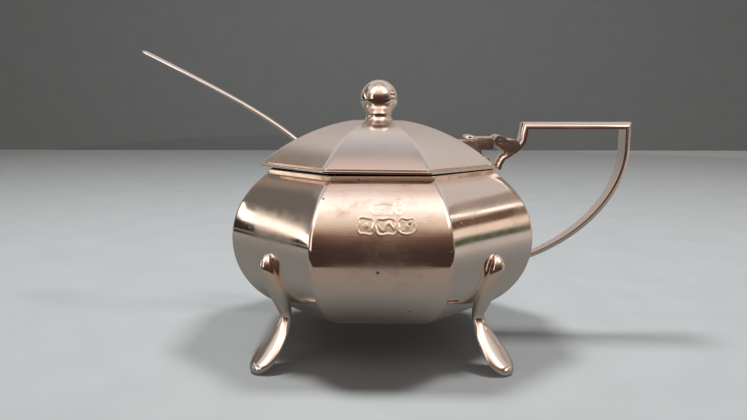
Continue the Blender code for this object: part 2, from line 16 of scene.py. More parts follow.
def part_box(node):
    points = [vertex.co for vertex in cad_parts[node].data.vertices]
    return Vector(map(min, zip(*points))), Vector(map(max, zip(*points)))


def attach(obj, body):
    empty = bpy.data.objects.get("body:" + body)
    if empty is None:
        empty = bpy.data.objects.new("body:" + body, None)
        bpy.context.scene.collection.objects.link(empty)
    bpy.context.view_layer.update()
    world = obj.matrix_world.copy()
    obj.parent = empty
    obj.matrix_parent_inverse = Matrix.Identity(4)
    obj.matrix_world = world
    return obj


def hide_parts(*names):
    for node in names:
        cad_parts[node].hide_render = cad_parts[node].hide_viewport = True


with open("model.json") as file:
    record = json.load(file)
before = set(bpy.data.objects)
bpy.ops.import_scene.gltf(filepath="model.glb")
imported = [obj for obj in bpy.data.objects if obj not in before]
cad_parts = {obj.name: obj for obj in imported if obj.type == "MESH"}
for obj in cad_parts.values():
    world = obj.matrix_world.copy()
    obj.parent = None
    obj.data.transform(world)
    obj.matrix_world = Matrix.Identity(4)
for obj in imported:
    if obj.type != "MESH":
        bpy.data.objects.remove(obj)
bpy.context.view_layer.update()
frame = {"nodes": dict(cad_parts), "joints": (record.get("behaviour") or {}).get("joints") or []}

LOG = logging.getLogger("condiment_pot")

MM = 0.001
FACETS = 8
HALF_FACET = math.pi / FACETS
FRONT_PANEL = 6                    # panels count round from the handle's side; the sixth faces the viewer
SOLDER = 0.3 * MM                  # the CAD solids stand this far apart where the real pieces are soldered
SHARP_ANGLE = math.radians(32.0)

Colour = tuple[float, float, float]
Point2 = tuple[float, float]


# ---------------------------------------------------------------------------------------------------------
# Node trees written as expressions
# ---------------------------------------------------------------------------------------------------------


class Graph:
    """A node tree under construction."""

    def __init__(self, tree: bpy.types.NodeTree) -> None:
        """Starts from an emptied tree.

        Args:
            tree: the shader or geometry tree to fill.
        """
        self.tree = tree
        tree.nodes.clear()

    def node(self, kind: str, settings: dict | None = None, inputs: dict | None = None,
             output: int | str = 0) -> "Wire":
        """Adds a node.

        Args:
            kind: the node's type, such as "ShaderNodeTexNoise".
            settings: properties set before anything is linked; "stops" fills a colour ramp.
            inputs: a value or a Wire for each named or numbered input.
            output: the output that the result stands for.

        Returns:
            A Wire on the chosen output.
        """
        made = self.tree.nodes.new(kind)
        for name, value in (settings or {}).items():
            if name == "stops":
                self._fill_ramp(made.color_ramp, value)
            else:
                setattr(made, name, value)
        for key, value in (inputs or {}).items():
            if isinstance(value, Wire):
                self.tree.links.new(value.socket, made.inputs[key])
            else:
                made.inputs[key].default_value = value
        return Wire(self, made, made.outputs[output] if made.outputs else None)

    @staticmethod
    def _fill_ramp(ramp: bpy.types.ColorRamp, stops: list[tuple[float, Colour]]) -> None:
        """Gives a colour ramp its stops, from low to high.

        Args:
            ramp: the ramp.
            stops: the place, from 0 to 1, and colour of each stop.
        """
        while len(ramp.elements) < len(stops):
            ramp.elements.new(0.5)
        for element, (place, colour) in zip(ramp.elements, stops):
            element.position = place
            element.color = (*colour, 1.0)

    def maths(self, operation: str, *values: "Wire | float", clamp: bool = False) -> "Wire":
        """Adds a Math node on two or three values and returns its result."""
        settings = {"operation": operation, "use_clamp": clamp}
        return self.node("ShaderNodeMath", settings, dict(enumerate(values)))

    def mix(self, share: "Wire | float", first: "Wire | Colour", second: "Wire | Colour") -> "Wire":
        """Mixes two colours by a share from 0 to 1."""
        ends = [end if isinstance(end, Wire) else (*end, 1.0) for end in (first, second)]
        return self.node("ShaderNodeMix", {"data_type": "RGBA"}, {0: share, 6: ends[0], 7: ends[1]}, 2)

    def vector(self, x: "Wire | float", y: "Wire | float", z: "Wire | float") -> "Wire":
        """Joins three values into one vector."""
        return self.node("ShaderNodeCombineXYZ", inputs={0: x, 1: y, 2: z})

    def parts(self, vector: "Wire") -> "tuple[Wire, Wire, Wire]":
        """Splits a vector into its three values."""
        split = self.node("ShaderNodeSeparateXYZ", inputs={0: vector})
        return split, split.out(1), split.out(2)


@dataclass(frozen=True)
class Wire:
    """One output of a node. Arithmetic on it adds Math nodes to the same tree."""

    graph: Graph
    maker: bpy.types.Node
    socket: bpy.types.NodeSocket | None

    def out(self, output: int | str) -> "Wire":
        """Another output of the same node."""
        return Wire(self.graph, self.maker, self.maker.outputs[output])

    def __add__(self, other: "Wire | float") -> "Wire":
        """Sum."""
        return self.graph.maths("ADD", self, other)

    def __sub__(self, other: "Wire | float") -> "Wire":
        """Difference."""
        return self.graph.maths("SUBTRACT", self, other)

    def __rsub__(self, other: float) -> "Wire":
        """Difference with a number first."""
        return self.graph.maths("SUBTRACT", other, self)

    def __mul__(self, other: "Wire | float") -> "Wire":
        """Product."""
        return self.graph.maths("MULTIPLY", self, other)

    def __truediv__(self, other: "Wire | float") -> "Wire":
        """Quotient."""
        return self.graph.maths("DIVIDE", self, other)

    def __pow__(self, other: float) -> "Wire":
        """Power."""
        return self.graph.maths("POWER", self, other)

    def __abs__(self) -> "Wire":
        """Size without sign."""
        return self.graph.maths("ABSOLUTE", self)

    __radd__ = __add__
    __rmul__ = __mul__

    def clamped(self) -> "Wire":
        """The value kept between 0 and 1."""
        return self.graph.maths("ADD", self, 0.0, clamp=True)

    def ease(self, low: float, high: float) -> "Wire":
        """A smooth step from 0 at low to 1 at high; low may be the larger."""
        inputs = {0: self, 1: low, 2: high, 3: 0.0, 4: 1.0}
        return self.graph.node("ShaderNodeMapRange", {"interpolation_type": "SMOOTHSTEP"}, inputs)

    def near(self, centre: "Wire | float", half: float, soft: float) -> "Wire":
        """1 within half of a centre, fading to 0 over soft."""
        return abs(self - centre).ease(half + soft, half)


# ---------------------------------------------------------------------------------------------------------
# Finishes
# ---------------------------------------------------------------------------------------------------------


class Rubbing(Enum):
    """The way that a surface was last polished, as the stretch of its fine marks along X, Y and Z."""

    LEVEL = (60.0, 60.0, 2600.0)       # across the panels, from side to side
    ROUND = (420.0, 420.0, 2600.0)     # round a turned piece
    LENGTHWISE = (300.0, 2200.0, 900.0)
    LOOSE = (900.0, 900.0, 900.0)      # no one direction


@dataclass(frozen=True)
class SilverFinish:
    """Polished silver with tarnish, rubbing marks, hairline scratches and pits.

    Attributes:
        slot: the record's material slot; not used.
        name: the material's own name.
        colour: clean metal.
        tarnish: the darker, warmer film that stays where a cloth misses.
        tarnish_share: how much of the surface the film covers, from 0 to 1.
        roughness: at the brightest polish.
        worn: roughness added where rubbing has dulled it.
        rubbing: direction of the marks.
        mark_depth: height of the rubbing marks.
        scratch_depth: depth of the hairlines.
        pit_depth: depth of the pits.
        seam_z: heights of joints where tarnish gathers.
        patch: middle of an area that years of rubbing have dulled, and its radius.
        specks: middles of dark corrosion specks, and their radii.
    """

    slot: str
    name: str
    colour: Colour = (0.94, 0.86, 0.80)
    tarnish: Colour = (0.62, 0.40, 0.30)
    tarnish_share: float = 0.25
    roughness: float = 0.06
    worn: float = 0.10
    rubbing: Rubbing = Rubbing.LEVEL
    mark_depth: float = 0.0012 * MM
    scratch_depth: float = 0.003 * MM
    pit_depth: float = 0.02 * MM
    seam_z: tuple[float, ...] = ()
    patch: tuple[float, float, float, float] | None = None
    specks: tuple[tuple[float, float, float, float], ...] = ()

    SMUDGE_SCALE = (95.0, 95.0, 130.0)
    BLOTCH_SCALE = (260.0, 260.0, 420.0)
    CORROSION = (0.10, 0.07, 0.06)

    def build(self) -> bpy.types.Material:
        """Makes the material.

        Returns:
            A metal whose colour, roughness and normal vary over the piece.
        """
        material = bpy.data.materials.new(self.name)
        material.use_nodes = True
        graph = Graph(material.node_tree)
        place = graph.node("ShaderNodeTexCoord", output="Object")
        smudge = self._noise(graph, place, self.SMUDGE_SCALE, 5.0, 0.62)
        blotch = self._noise(graph, place, self.BLOTCH_SCALE, 4.0, 0.55)
        marks = self._noise(graph, place, self.rubbing.value, 3.0, 0.7)
        film = smudge.ease(0.74 - 0.35 * self.tarnish_share, 0.86 - 0.30 * self.tarnish_share)
        film = film * (0.55 + 0.45 * blotch)
        height = graph.parts(place)[2]
        for seam in self.seam_z:
            film = film + height.near(seam, 0.25 * MM, 0.9 * MM) * (0.25 + 0.6 * blotch)
        rubbed = 0.0 * height
        if self.patch:
            away = self._distance(graph, place, self.patch[:3]) + 3.0 * MM * (smudge - 0.5)
            rubbed = away.ease(self.patch[3] * 1.3, self.patch[3] * 0.9)
            film = film + rubbed * blotch.ease(0.45, 0.75) * 0.5
        film = film.clamped()
        hairlines = self._hairlines(graph, place, (0.3, 0.1, 0.5), 210.0)
        hairlines = hairlines + self._hairlines(graph, place, (-0.2, 0.6, -0.9), 160.0)
        pits = self._pits(graph, place)
        for *middle, radius in self.specks:
            away = self._distance(graph, place, middle) + radius * 1.6 * (blotch - 0.5)
            pits = graph.maths("MAXIMUM", pits, away.ease(radius * 1.1, radius * 0.7))
        dulled = smudge.ease(0.42, 0.66) * self.worn
        rough = self.roughness + dulled + marks * self.worn * 0.35
        rough = rough + film * 0.12 + hairlines * 0.06 + pits * 0.3
        rough = rough + rubbed * (0.05 + 0.10 * marks)
        colour = graph.mix(film * 0.75, self.colour, self.tarnish)
        colour = graph.mix(pits * 0.8, colour, self.CORROSION)
        relief = marks * (1.0 + 2.5 * rubbed) * self.mark_depth
        relief = relief - hairlines * self.scratch_depth - pits * self.pit_depth
        relief = relief + blotch * self.mark_depth
        normal = graph.node("ShaderNodeBump", inputs={"Strength": 1.0, "Distance": 1.0, "Height": relief})
        shader = graph.node("ShaderNodeBsdfPrincipled", inputs={
            "Base Color": colour, "Metallic": 1.0, "Roughness": rough.clamped(), "Normal": normal})
        graph.node("ShaderNodeOutputMaterial", inputs={"Surface": shader})
        material.diffuse_color = (*self.colour, 1.0)
        return material

    @staticmethod
    def _noise(graph: Graph, place: Wire, stretch: Colour, detail: float, rough: float) -> Wire:
        """Fractal noise, stretched by its scale along each axis.

        Args:
            graph: the material's tree.
            place: where the pattern is read.
            stretch: its scale along X, Y and Z.
            detail: how many finer layers it has.
            rough: how strong they are.

        Returns:
            The noise, from 0 to 1.
        """
        stretched = graph.node("ShaderNodeMapping", inputs={"Vector": place, "Scale": stretch})
        inputs = {"Vector": stretched, "Scale": 1.0, "Detail": detail, "Roughness": rough}
        return graph.node("ShaderNodeTexNoise", inputs=inputs)

    @staticmethod
    def _distance(graph: Graph, place: Wire, middle: "tuple[float, ...] | list[float]") -> Wire:
        """Distance from a point."""
        inputs = {0: place, 1: tuple(middle)}
        return graph.node("ShaderNodeVectorMath", {"operation": "DISTANCE"}, inputs, "Value")

    @staticmethod
    def _hairlines(graph: Graph, place: Wire, turn: Colour, scale: float) -> Wire:
        """Thin lines where a stretched noise crosses its middle value, broken up by a second noise.

        Args:
            graph: the material's tree.
            place: where the pattern is read.
            turn: how the lines are turned.
            scale: how close together they are.

        Returns:
            1 on a line and 0 beside it.
        """
        inputs = {"Vector": place, "Rotation": turn, "Scale": (scale * 0.25, scale * 0.25, scale * 1.6)}
        turned = graph.node("ShaderNodeMapping", inputs=inputs)
        long = graph.node("ShaderNodeTexNoise", inputs={"Vector": turned, "Scale": 1.0, "Detail": 1.0})
        inputs = {"Vector": place, "Scale": scale * 2.2, "Detail": 2.0}
        gate = graph.node("ShaderNodeTexNoise", inputs=inputs)
        return abs(long - 0.5).ease(0.006, 0.001) * gate.ease(0.55, 0.68)

    @staticmethod
    def _pits(graph: Graph, place: Wire) -> Wire:
        """A few round specks, only in some of the cells of a Voronoi pattern.

        Args:
            graph: the material's tree.
            place: where the pattern is read.

        Returns:
            1 in a speck and 0 outside it.
        """
        inputs = {"Vector": place, "Scale": 330.0, "Randomness": 1.0}
        cells = graph.node("ShaderNodeTexVoronoi", inputs=inputs)
        chosen = graph.parts(cells.out("Color"))[0].ease(0.955, 0.96)
        return cells.ease(0.11, 0.05) * chosen


@dataclass(frozen=True)
class GlassFinish:
    """Deep blue pressed glass with faint swirls in its colour and a slightly uneven surface."""

    slot: str = "cobalt_glass"
    name: str = "cobalt_glass_liner"
    colour: Colour = (0.012, 0.03, 0.34)
    thick_colour: Colour = (0.004, 0.008, 0.16)
    ripple: float = 0.03 * MM

    def build(self) -> bpy.types.Material:
        """Makes the glass material.

        Returns:
            A deep blue glass that lets some light through.
        """
        material = bpy.data.materials.new(self.name)
        material.use_nodes = True
        graph = Graph(material.node_tree)
        place = graph.node("ShaderNodeTexCoord", output="Object")
        swirl = graph.node("ShaderNodeTexNoise", inputs={
            "Vector": place, "Scale": 70.0, "Detail": 3.0, "Distortion": 1.4})
        colour = graph.mix(swirl.ease(0.35, 0.7), self.colour, self.thick_colour)
        normal = graph.node("ShaderNodeBump", inputs={
            "Strength": 1.0, "Distance": 1.0, "Height": swirl * self.ripple})
        shader = graph.node("ShaderNodeBsdfPrincipled", inputs={
            "Base Color": colour, "Roughness": 0.04 + 0.05 * swirl, "IOR": 1.52,
            "Transmission Weight": 0.75, "Normal": normal})
        graph.node("ShaderNodeOutputMaterial", inputs={"Surface": shader})
        return material


class Finishes:
    """Every finish on the pot, by the piece that wears it."""

    body = SilverFinish(
        "polished_silver", "body_silver", tarnish_share=0.3, seam_z=(36.5 * MM,), mark_depth=0.0022 * MM,
        patch=(4.1 * MM, -29.0 * MM, 28.0 * MM, 9.5 * MM),
        specks=((3.5 * MM, -30.0 * MM, 21.2 * MM, 0.28 * MM), (9.3 * MM, -26.2 * MM, 13.0 * MM, 0.30 * MM)))
    # The collar's heavy film (tarnish_share 0.8) is partly real tarnish and partly painted shade for the
    # recess under the lid's flange.
    collar = SilverFinish("polished_silver", "collar_silver", tarnish_share=0.8, roughness=0.14,
                          seam_z=(36.4 * MM,))
    base = SilverFinish("plain_silver", "base_silver", colour=(0.80, 0.72, 0.67), roughness=0.24,
                        tarnish_share=0.7, rubbing=Rubbing.LOOSE)
    leg = SilverFinish("cast_silver", "leg_silver", roughness=0.08, worn=0.12, rubbing=Rubbing.LOOSE,
                       tarnish_share=0.25, mark_depth=0.002 * MM)
    strap = SilverFinish("rubbed_silver", "strap_silver", roughness=0.10, worn=0.14,
                         rubbing=Rubbing.LENGTHWISE, tarnish_share=0.4, mark_depth=0.002 * MM)
    hinge = SilverFinish("hinge_silver", "hinge_silver", colour=(0.95, 0.86, 0.82), roughness=0.21,
                         rubbing=Rubbing.LOOSE, tarnish_share=0.35)
    lid = SilverFinish("lid_silver", "lid_silver", colour=(0.90, 0.84, 0.79), roughness=0.15, worn=0.10,
                       tarnish_share=0.2, rubbing=Rubbing.LOOSE, mark_depth=0.002 * MM)
    finial = SilverFinish("finial_silver", "finial_silver", roughness=0.05, worn=0.08,
                          rubbing=Rubbing.ROUND, tarnish_share=0.4, seam_z=(46.5 * MM, 48.6 * MM))
    fitting = SilverFinish("plain_silver", "fitting_silver", colour=(0.78, 0.70, 0.66), roughness=0.28,
                           rubbing=Rubbing.ROUND, tarnish_share=0.8)
    stud = SilverFinish("stud_metal", "stud_brass", colour=(0.68, 0.54, 0.30), tarnish=(0.35, 0.22, 0.10),
                        roughness=0.3, rubbing=Rubbing.ROUND, tarnish_share=0.6)
    spoon = SilverFinish("spoon_silver", "spoon_silver", colour=(0.93, 0.89, 0.85), roughness=0.13,
                         worn=0.12, rubbing=Rubbing.LENGTHWISE, tarnish_share=0.15)
    glass = GlassFinish()


# ---------------------------------------------------------------------------------------------------------
# Mesh tools
# ---------------------------------------------------------------------------------------------------------


def settle(bm: bmesh.types.BMesh, name: str, tilt: Matrix | None = None) -> bpy.types.Object:
    """Turns a bmesh into a smooth object at the origin.

    Args:
        bm: the closed form; it is freed.
        name: the piece's name.
        tilt: moves the whole form before it becomes a mesh.

    Returns:
        The new object, linked to the scene.
    """
    bmesh.ops.remove_doubles(bm, verts=bm.verts, dist=0.001 * MM)
    bmesh.ops.recalc_face_normals(bm, faces=bm.faces)
    if tilt is not None:
        bmesh.ops.transform(bm, matrix=tilt, verts=bm.verts)
    mesh = bpy.data.meshes.new(name)
    bm.to_mesh(mesh)
    bm.free()
    mesh.shade_smooth()
    mesh.set_sharp_from_angle(angle=SHARP_ANGLE)
    piece = bpy.data.objects.new(name, mesh)
    bpy.context.scene.collection.objects.link(piece)
    return piece


def frozen(piece: bpy.types.Object) -> bpy.types.Object:
    """Replaces a piece's mesh by its evaluated one and drops its modifiers.

    Args:
        piece: an object with live modifiers.

    Returns:
        The same object with a plain mesh.
    """
    graph = bpy.context.evaluated_depsgraph_get()
    solid = bpy.data.meshes.new_from_object(piece.evaluated_get(graph), depsgraph=graph)
    old = piece.data
    piece.modifiers.clear()
    piece.data = solid
    bpy.data.meshes.remove(old)
    return piece


def give_sizes(modifier: bpy.types.NodesModifier, sizes: dict[str, float]) -> None:
    """Sets the inputs of a Geometry Nodes modifier.

    Args:
        modifier: the modifier, with its tree in place.
        sizes: a value for each named input.
    """
    items = modifier.node_group.interface.items_tree
    sockets = {item.name: item.identifier for item in items if item.in_out == "INPUT"}
    for name, value in sizes.items():
        modifier[sockets[name]] = value

def show(piece: bpy.types.Object, body: str, finish: SilverFinish | GlassFinish, *nodes: str) -> None:
    """Coats a piece, puts it on its body and lets it stand for CAD nodes.

    Args:
        piece: the finished object.
        body: the CAD body that carries it.
        finish: what it is coated with.
        nodes: the CAD nodes that it replaces.
    """
    piece.data.materials.clear()
    piece.data.materials.append(finish.build())
    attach(piece, body)
    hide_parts(*nodes)
    LOG.info("%s: %d faces, for %s", piece.name, len(piece.data.polygons), ", ".join(nodes))


def arc(centre: Point2, radius: float, start: float, end: float, steps: int) -> list[Point2]:
    """Points on an arc, in degrees, both ends included."""
    angles = np.radians(np.linspace(start, end, steps + 1))
    return [(centre[0] + radius * math.cos(a), centre[1] + radius * math.sin(a)) for a in angles]


def softened_outline(corners: list[Point2], radius: float, steps: int = 3) -> list[Point2]:
    """Rounds the corners of a closed outline.

    Args:
        corners: the outline's corners in order.
        radius: how far from each corner the rounding starts.
        steps: points along each rounding.

    Returns:
        The outline with each corner replaced by a short curve.
    """
    rounded = []
    for i, corner in enumerate(corners):
        here = Vector(corner)
        before = Vector(corners[i - 1]) - here
        after = Vector(corners[(i + 1) % len(corners)]) - here
        first = here + before.normalized() * min(radius, before.length / 2)
        last = here + after.normalized() * min(radius, after.length / 2)
        for step in range(steps + 1):
            t = step / steps
            rounded.append(tuple(first * (1 - t) ** 2 + here * 2 * t * (1 - t) + last * t**2))
    return rounded


def grid_body(rows: list[list[Vector]], wrap: bool = True, caps: bool = False) -> bmesh.types.BMesh:
    """Quads between rows of points.

    Args:
        rows: rings of equal length.
        wrap: whether the last row joins the first.
        caps: whether the first and last rows are filled.

    Returns:
        The form, closed if it wraps or is capped.
    """
    bm = bmesh.new()
    made = [[bm.verts.new(point) for point in row] for row in rows]
    pairs = list(zip(made, made[1:]))
    if wrap:
        pairs.append((made[-1], made[0]))
    count = len(made[0])
    for low, high in pairs:
        for i in range(count):
            j = (i + 1) % count
            bm.faces.new((low[i], low[j], high[j], high[i]))
    if caps:
        bm.faces.new(made[0])
        bm.faces.new(made[-1])
    return bm


def turned_rows(profile: list[Point2], axis: Vector, steps: int = 96) -> list[list[Vector]]:
    """Repeats a (radius, z) profile round an upright axis.

    Args:
        profile: the profile's points.
        axis: the foot of the axis.
        steps: how many times it is repeated.

    Returns:
        One row of points for each step.
    """
    rows = []
    for i in range(steps):
        turn = math.tau * i / steps
        rows.append([axis + Vector((r * math.cos(turn), r * math.sin(turn), z)) for r, z in profile])
    return rows


def panel_stops(crease: float, flat_steps: int) -> list[float]:
    """Places across one panel, from 0 to just under 1, close together at its two creases.

    Args:
        crease: the share of the half panel that the rounding of a crease takes.
        flat_steps: steps across the flat middle.

    Returns:
        The places in order.
    """
    edge = [crease / 2 * i / 4 for i in range(4)]
    middle = [crease / 2 + (1 - crease) * i / flat_steps for i in range(flat_steps + 1)]
    return edge + middle + [1 - place for place in reversed(edge[1:])]


def octagonal(profile: list[Point2], axis: Vector, crease: float = 0.03,
              flat_steps: int = 6) -> bmesh.types.BMesh:
    """Sweeps a closed profile round eight panels with rounded creases.

    Args:
        profile: (half width across flats, z) points.
        axis: the foot of the upright axis.
        crease: the share of a half panel that a crease's rounding takes.
        flat_steps: steps across a panel's flat middle.

    Returns:
        The closed ring.
    """
    rows = []
    for panel in range(FACETS):
        turn = Matrix.Rotation(math.tau * panel / FACETS, 3, "Z")
        for place in panel_stops(crease, flat_steps):
            share = 1 - abs(2 * place - 1)
            row = []
            for flat, z in profile:
                half = abs(flat) * math.tan(HALF_FACET)
                reach = max(crease - share, 0.0) * half
                bend = crease * half / math.tan(HALF_FACET)
                drop = bend - math.sqrt(max(bend**2 - reach**2, 0.0))
                shrink = 1 - drop * math.cos(HALF_FACET) / max(flat, MM * 0.01)
                flat_point = Vector((flat * shrink, (2 * place - 1) * half * shrink, 0.0))
                row.append(axis + turn @ flat_point + Vector((0.0, 0.0, z)))
            rows.append(row)
    return grid_body(rows)


def softened(node: str, name: str, width: float, segments: int = 2) -> bpy.types.Object:
    """A copy of a CAD node with its edges broken, as a file and a polishing mop leave them.

    Args:
        node: the CAD node to copy.
        name: the new piece's name.
        width: width of the rounding.
        segments: its steps.

    Returns:
        The softened piece.
    """
    bm = bmesh.new()
    bm.from_mesh(frame["nodes"][node].data)
    bmesh.ops.remove_doubles(bm, verts=bm.verts, dist=0.002 * MM)
    bmesh.ops.dissolve_limit(bm, angle_limit=math.radians(1.0), verts=bm.verts, edges=bm.edges)
    piece = settle(bm, name)
    bevel = piece.modifiers.new("broken_edges", "BEVEL")
    bevel.width = width
    bevel.segments = segments
    bevel.limit_method = "ANGLE"
    bevel.angle_limit = math.radians(28.0)
    bevel.use_clamp_overlap = True
    frozen(piece)
    piece.data.shade_smooth()
    piece.data.set_sharp_from_angle(angle=SHARP_ANGLE)
    return piece


# ---------------------------------------------------------------------------------------------------------
# Raised panels: one Geometry Nodes tree bends a flat blank into the body or the dome
# ---------------------------------------------------------------------------------------------------------


class Motif(Enum):
    """What stands inside a punched mark. None of them means anything."""

    LOZENGE = "lozenge"
    BEADS = "beads"
    WAVE = "wave"


@dataclass(frozen=True)
class PunchMark:
    """A plain punched field with a raised pattern.

    Attributes:
        centre: distance to the right of the panel's middle line.
        height: height of its middle above the table.
        half_width: half its width.
        half_height: half its height.
        corner: how much of each corner is cut off.
        motif: the pattern inside.
    """

    centre: float
    height: float
    half_width: float
    half_height: float
    corner: float
    motif: Motif

    def depth(self, x: np.ndarray, z: np.ndarray) -> np.ndarray:
        """Depth of the mark at points on the panel.

        Args:
            x: distances from the panel's middle line.
            z: heights above the table.

        Returns:
            How far the metal is pushed in; negative where it is thrown up.
        """
        x = x + 0.10 * MM * np.sin(z * 3600.0 + self.centre * 3000.0)
        z = z + 0.09 * MM * np.sin(x * 2900.0 + self.height * 900.0)
        u = np.abs(x - self.centre)
        v = np.abs(z - self.height)
        cut = (u + v - self.half_width - self.half_height + self.corner) / math.sqrt(2.0)
        outside = np.maximum(np.maximum(u - self.half_width, v - self.half_height), cut)
        field_depth = 1.0 - smooth(outside, -0.2 * MM, 0.05 * MM)
        burr = np.exp(-((outside - 0.1 * MM) / (0.14 * MM)) ** 2)
        inside = 1.0 - smooth(outside, -0.4 * MM, -0.15 * MM)
        pattern = self._pattern((x - self.centre) / self.half_width, (z - self.height) / self.half_height)
        worn = 0.75 + 0.35 * np.sin(x * 1700.0 + z * 2300.0)
        return (0.05 * field_depth - 0.04 * burr * worn - 0.055 * inside * pattern * worn) * MM

    def _pattern(self, u: np.ndarray, v: np.ndarray) -> np.ndarray:
        """The raised pattern, from 0 to 1, over a field that runs from -1 to 1 both ways.

        Args:
            u: places across the field.
            v: places up the field.

        Returns:
            How far the pattern stands up.
        """
        if self.motif is Motif.LOZENGE:
            return 1.0 - smooth(np.abs(u) + np.abs(v), 0.25, 0.6)
        if self.motif is Motif.BEADS:
            return np.clip(np.cos(u * 6.0) * np.cos(v * 4.2), 0.0, 1.0)
        return 1.0 - smooth(np.abs(v - 0.45 * np.sin(4.5 * u)), 0.12, 0.4)


def smooth(value: np.ndarray, low: float, high: float) -> np.ndarray:
    """A smooth step from 0 at low to 1 at high."""
    t = np.clip((value - low) / (high - low), 0.0, 1.0)
    return t * t * (3.0 - 2.0 * t)


@dataclass
class RaisedPanels:
    """Eight panels raised on an upright arc, from a flat blank.

    Attributes:
        axis_x: where the upright axis stands.
        arc_centre: the arc centre's distance from the axis.
        arc_height: the arc centre's height.
        arc_radius: the arc's radius.
        start_deg: the arc's first angle, at the blank's top edge.
        end_deg: its last angle.
        lip: how far the blank runs in, level, past the last angle.
        crease: the share of a half panel that a crease's rounding takes.
        wobble: how uneven the hand-raised panels are.
        crown_drop: how far the crown is drawn down.
        crown_edge: the half width inside which it is drawn down.
        thickness: the sheet's gauge.
        rows: steps along the arc.
        marks: punched marks on the front panel.
    """

    axis_x: float
    arc_centre: float
    arc_height: float
    arc_radius: float
    start_deg: float
    end_deg: float
    lip: float = 0.0
    crease: float = 0.03
    wobble: float = 0.05 * MM
    crown_drop: float = 0.0
    crown_edge: float = 0.0
    thickness: float = 0.8 * MM
    rows: int = 44
    marks: tuple[PunchMark, ...] = field(default_factory=tuple)

    FINE_STEP = 0.13 * MM
    FINE_MARGIN = 0.5 * MM
    PANEL_STEPS = 10
    LIP_STOPS = (0.02, 0.08, 0.3, 0.65, 1.0)

    def blank(self, name: str) -> bpy.types.Object:
        """Lays out the flat sheet: X counts panels from 0 to 8, Y runs down the arc and on over the lip.

        Args:
            name: the sheet's name.

        Returns:
            The flat sheet, struck with its marks.
        """
        stops = panel_stops(self.crease, self.PANEL_STEPS)
        columns = [panel + place for panel in range(FACETS) for place in stops] + [FACETS]
        rows = [i / self.rows for i in range(self.rows + 1)]
        if self.lip > 0.0:
            rows += [1.0 + share for share in self.LIP_STOPS]
        if self.marks:
            columns = self._refined(columns, *self._marked_columns())
            rows = self._refined(rows, *self._marked_rows())
        bm = bmesh.new()
        grid = [[bm.verts.new((x, y, 0.0)) for x in columns] for y in rows]
        for low, high in zip(grid, grid[1:]):
            for i in range(len(columns) - 1):
                bm.faces.new((low[i], high[i], high[i + 1], low[i + 1]))
        mesh = bpy.data.meshes.new(name)
        bm.to_mesh(mesh)
        bm.free()
        self._strike(mesh)
        sheet = bpy.data.objects.new(name, mesh)
        bpy.context.scene.collection.objects.link(sheet)
        return sheet

    def _half_width_at(self, z: np.ndarray | float) -> np.ndarray | float:
        """Half the width of a panel at a height on the arc."""
        flat = self.arc_centre + np.sqrt(self.arc_radius**2 - (z - self.arc_height) ** 2)
        return flat * math.tan(HALF_FACET)

    def _marked_columns(self) -> tuple[float, float, int]:
        """Finds where the marked field lies across the blank.

        Returns:
            Its first and last column, in panels, and the steps between them.
        """
        reach = max(abs(mark.centre) + mark.half_width for mark in self.marks) + self.FINE_MARGIN
        half = float(self._half_width_at(self.marks[0].height))
        middle = FRONT_PANEL + 0.5
        return middle - reach / half / 2, middle + reach / half / 2, round(2 * reach / self.FINE_STEP)

    def _marked_rows(self) -> tuple[float, float, int]:
        """Finds where the marked field lies along the arc.

        Returns:
            Its first and last row, and the steps between them.
        """
        top = max(mark.height + mark.half_height for mark in self.marks) + self.FINE_MARGIN
        low = min(mark.height - mark.half_height for mark in self.marks) - self.FINE_MARGIN
        places = [self._place_on_arc(z) for z in (top, low)]
        return places[0], places[1], round((top - low) / self.FINE_STEP)

    def _place_on_arc(self, z: float) -> float:
        """How far down the blank a height lies."""
        angle = math.degrees(math.asin((z - self.arc_height) / self.arc_radius))
        return (angle - self.start_deg) / (self.end_deg - self.start_deg)

    @staticmethod
    def _refined(stops: list[float], low: float, high: float, steps: int) -> list[float]:
        """Stops with an even, finer run between low and high.

        Args:
            stops: the stops, in order.
            low: start of the finer run.
            high: its end.
            steps: its number of steps.

        Returns:
            All the stops, in order.
        """
        fine = list(np.linspace(low, high, steps + 1))
        spacing = (high - low) / steps
        kept = [stop for stop in stops if stop < low - spacing / 2 or stop > high + spacing / 2]
        return sorted(kept + fine)

    def _strike(self, mesh: bpy.types.Mesh) -> None:
        """Stores how deep each vertex is struck, in the attribute "struck".

        Args:
            mesh: the flat blank.
        """
        places = np.zeros(len(mesh.vertices) * 3, np.float32)
        mesh.vertices.foreach_get("co", places)
        places = places.reshape(-1, 3).astype(float)
        angle = np.radians(self.start_deg + (self.end_deg - self.start_deg) * np.minimum(places[:, 1], 1.0))
        z = self.arc_height + self.arc_radius * np.sin(angle)
        half = (self.arc_centre + self.arc_radius * np.cos(angle)) * math.tan(HALF_FACET)
        x = (2 * (places[:, 0] - FRONT_PANEL) - 1) * half
        depth = np.zeros(len(z))
        on_front = (places[:, 0] > FRONT_PANEL + 0.02) & (places[:, 0] < FRONT_PANEL + 0.98)
        for mark in self.marks:
            depth = depth + np.where(on_front, mark.depth(x, z), 0.0)
        struck = mesh.attributes.new("struck", "FLOAT", "POINT")
        struck.data.foreach_set("value", depth.astype(np.float32))

    SIZES = ("Axis X", "Arc Centre", "Arc Height", "Arc Radius", "Start", "End", "Lip", "Crease", "Wobble",
             "Crown Drop", "Crown Edge")

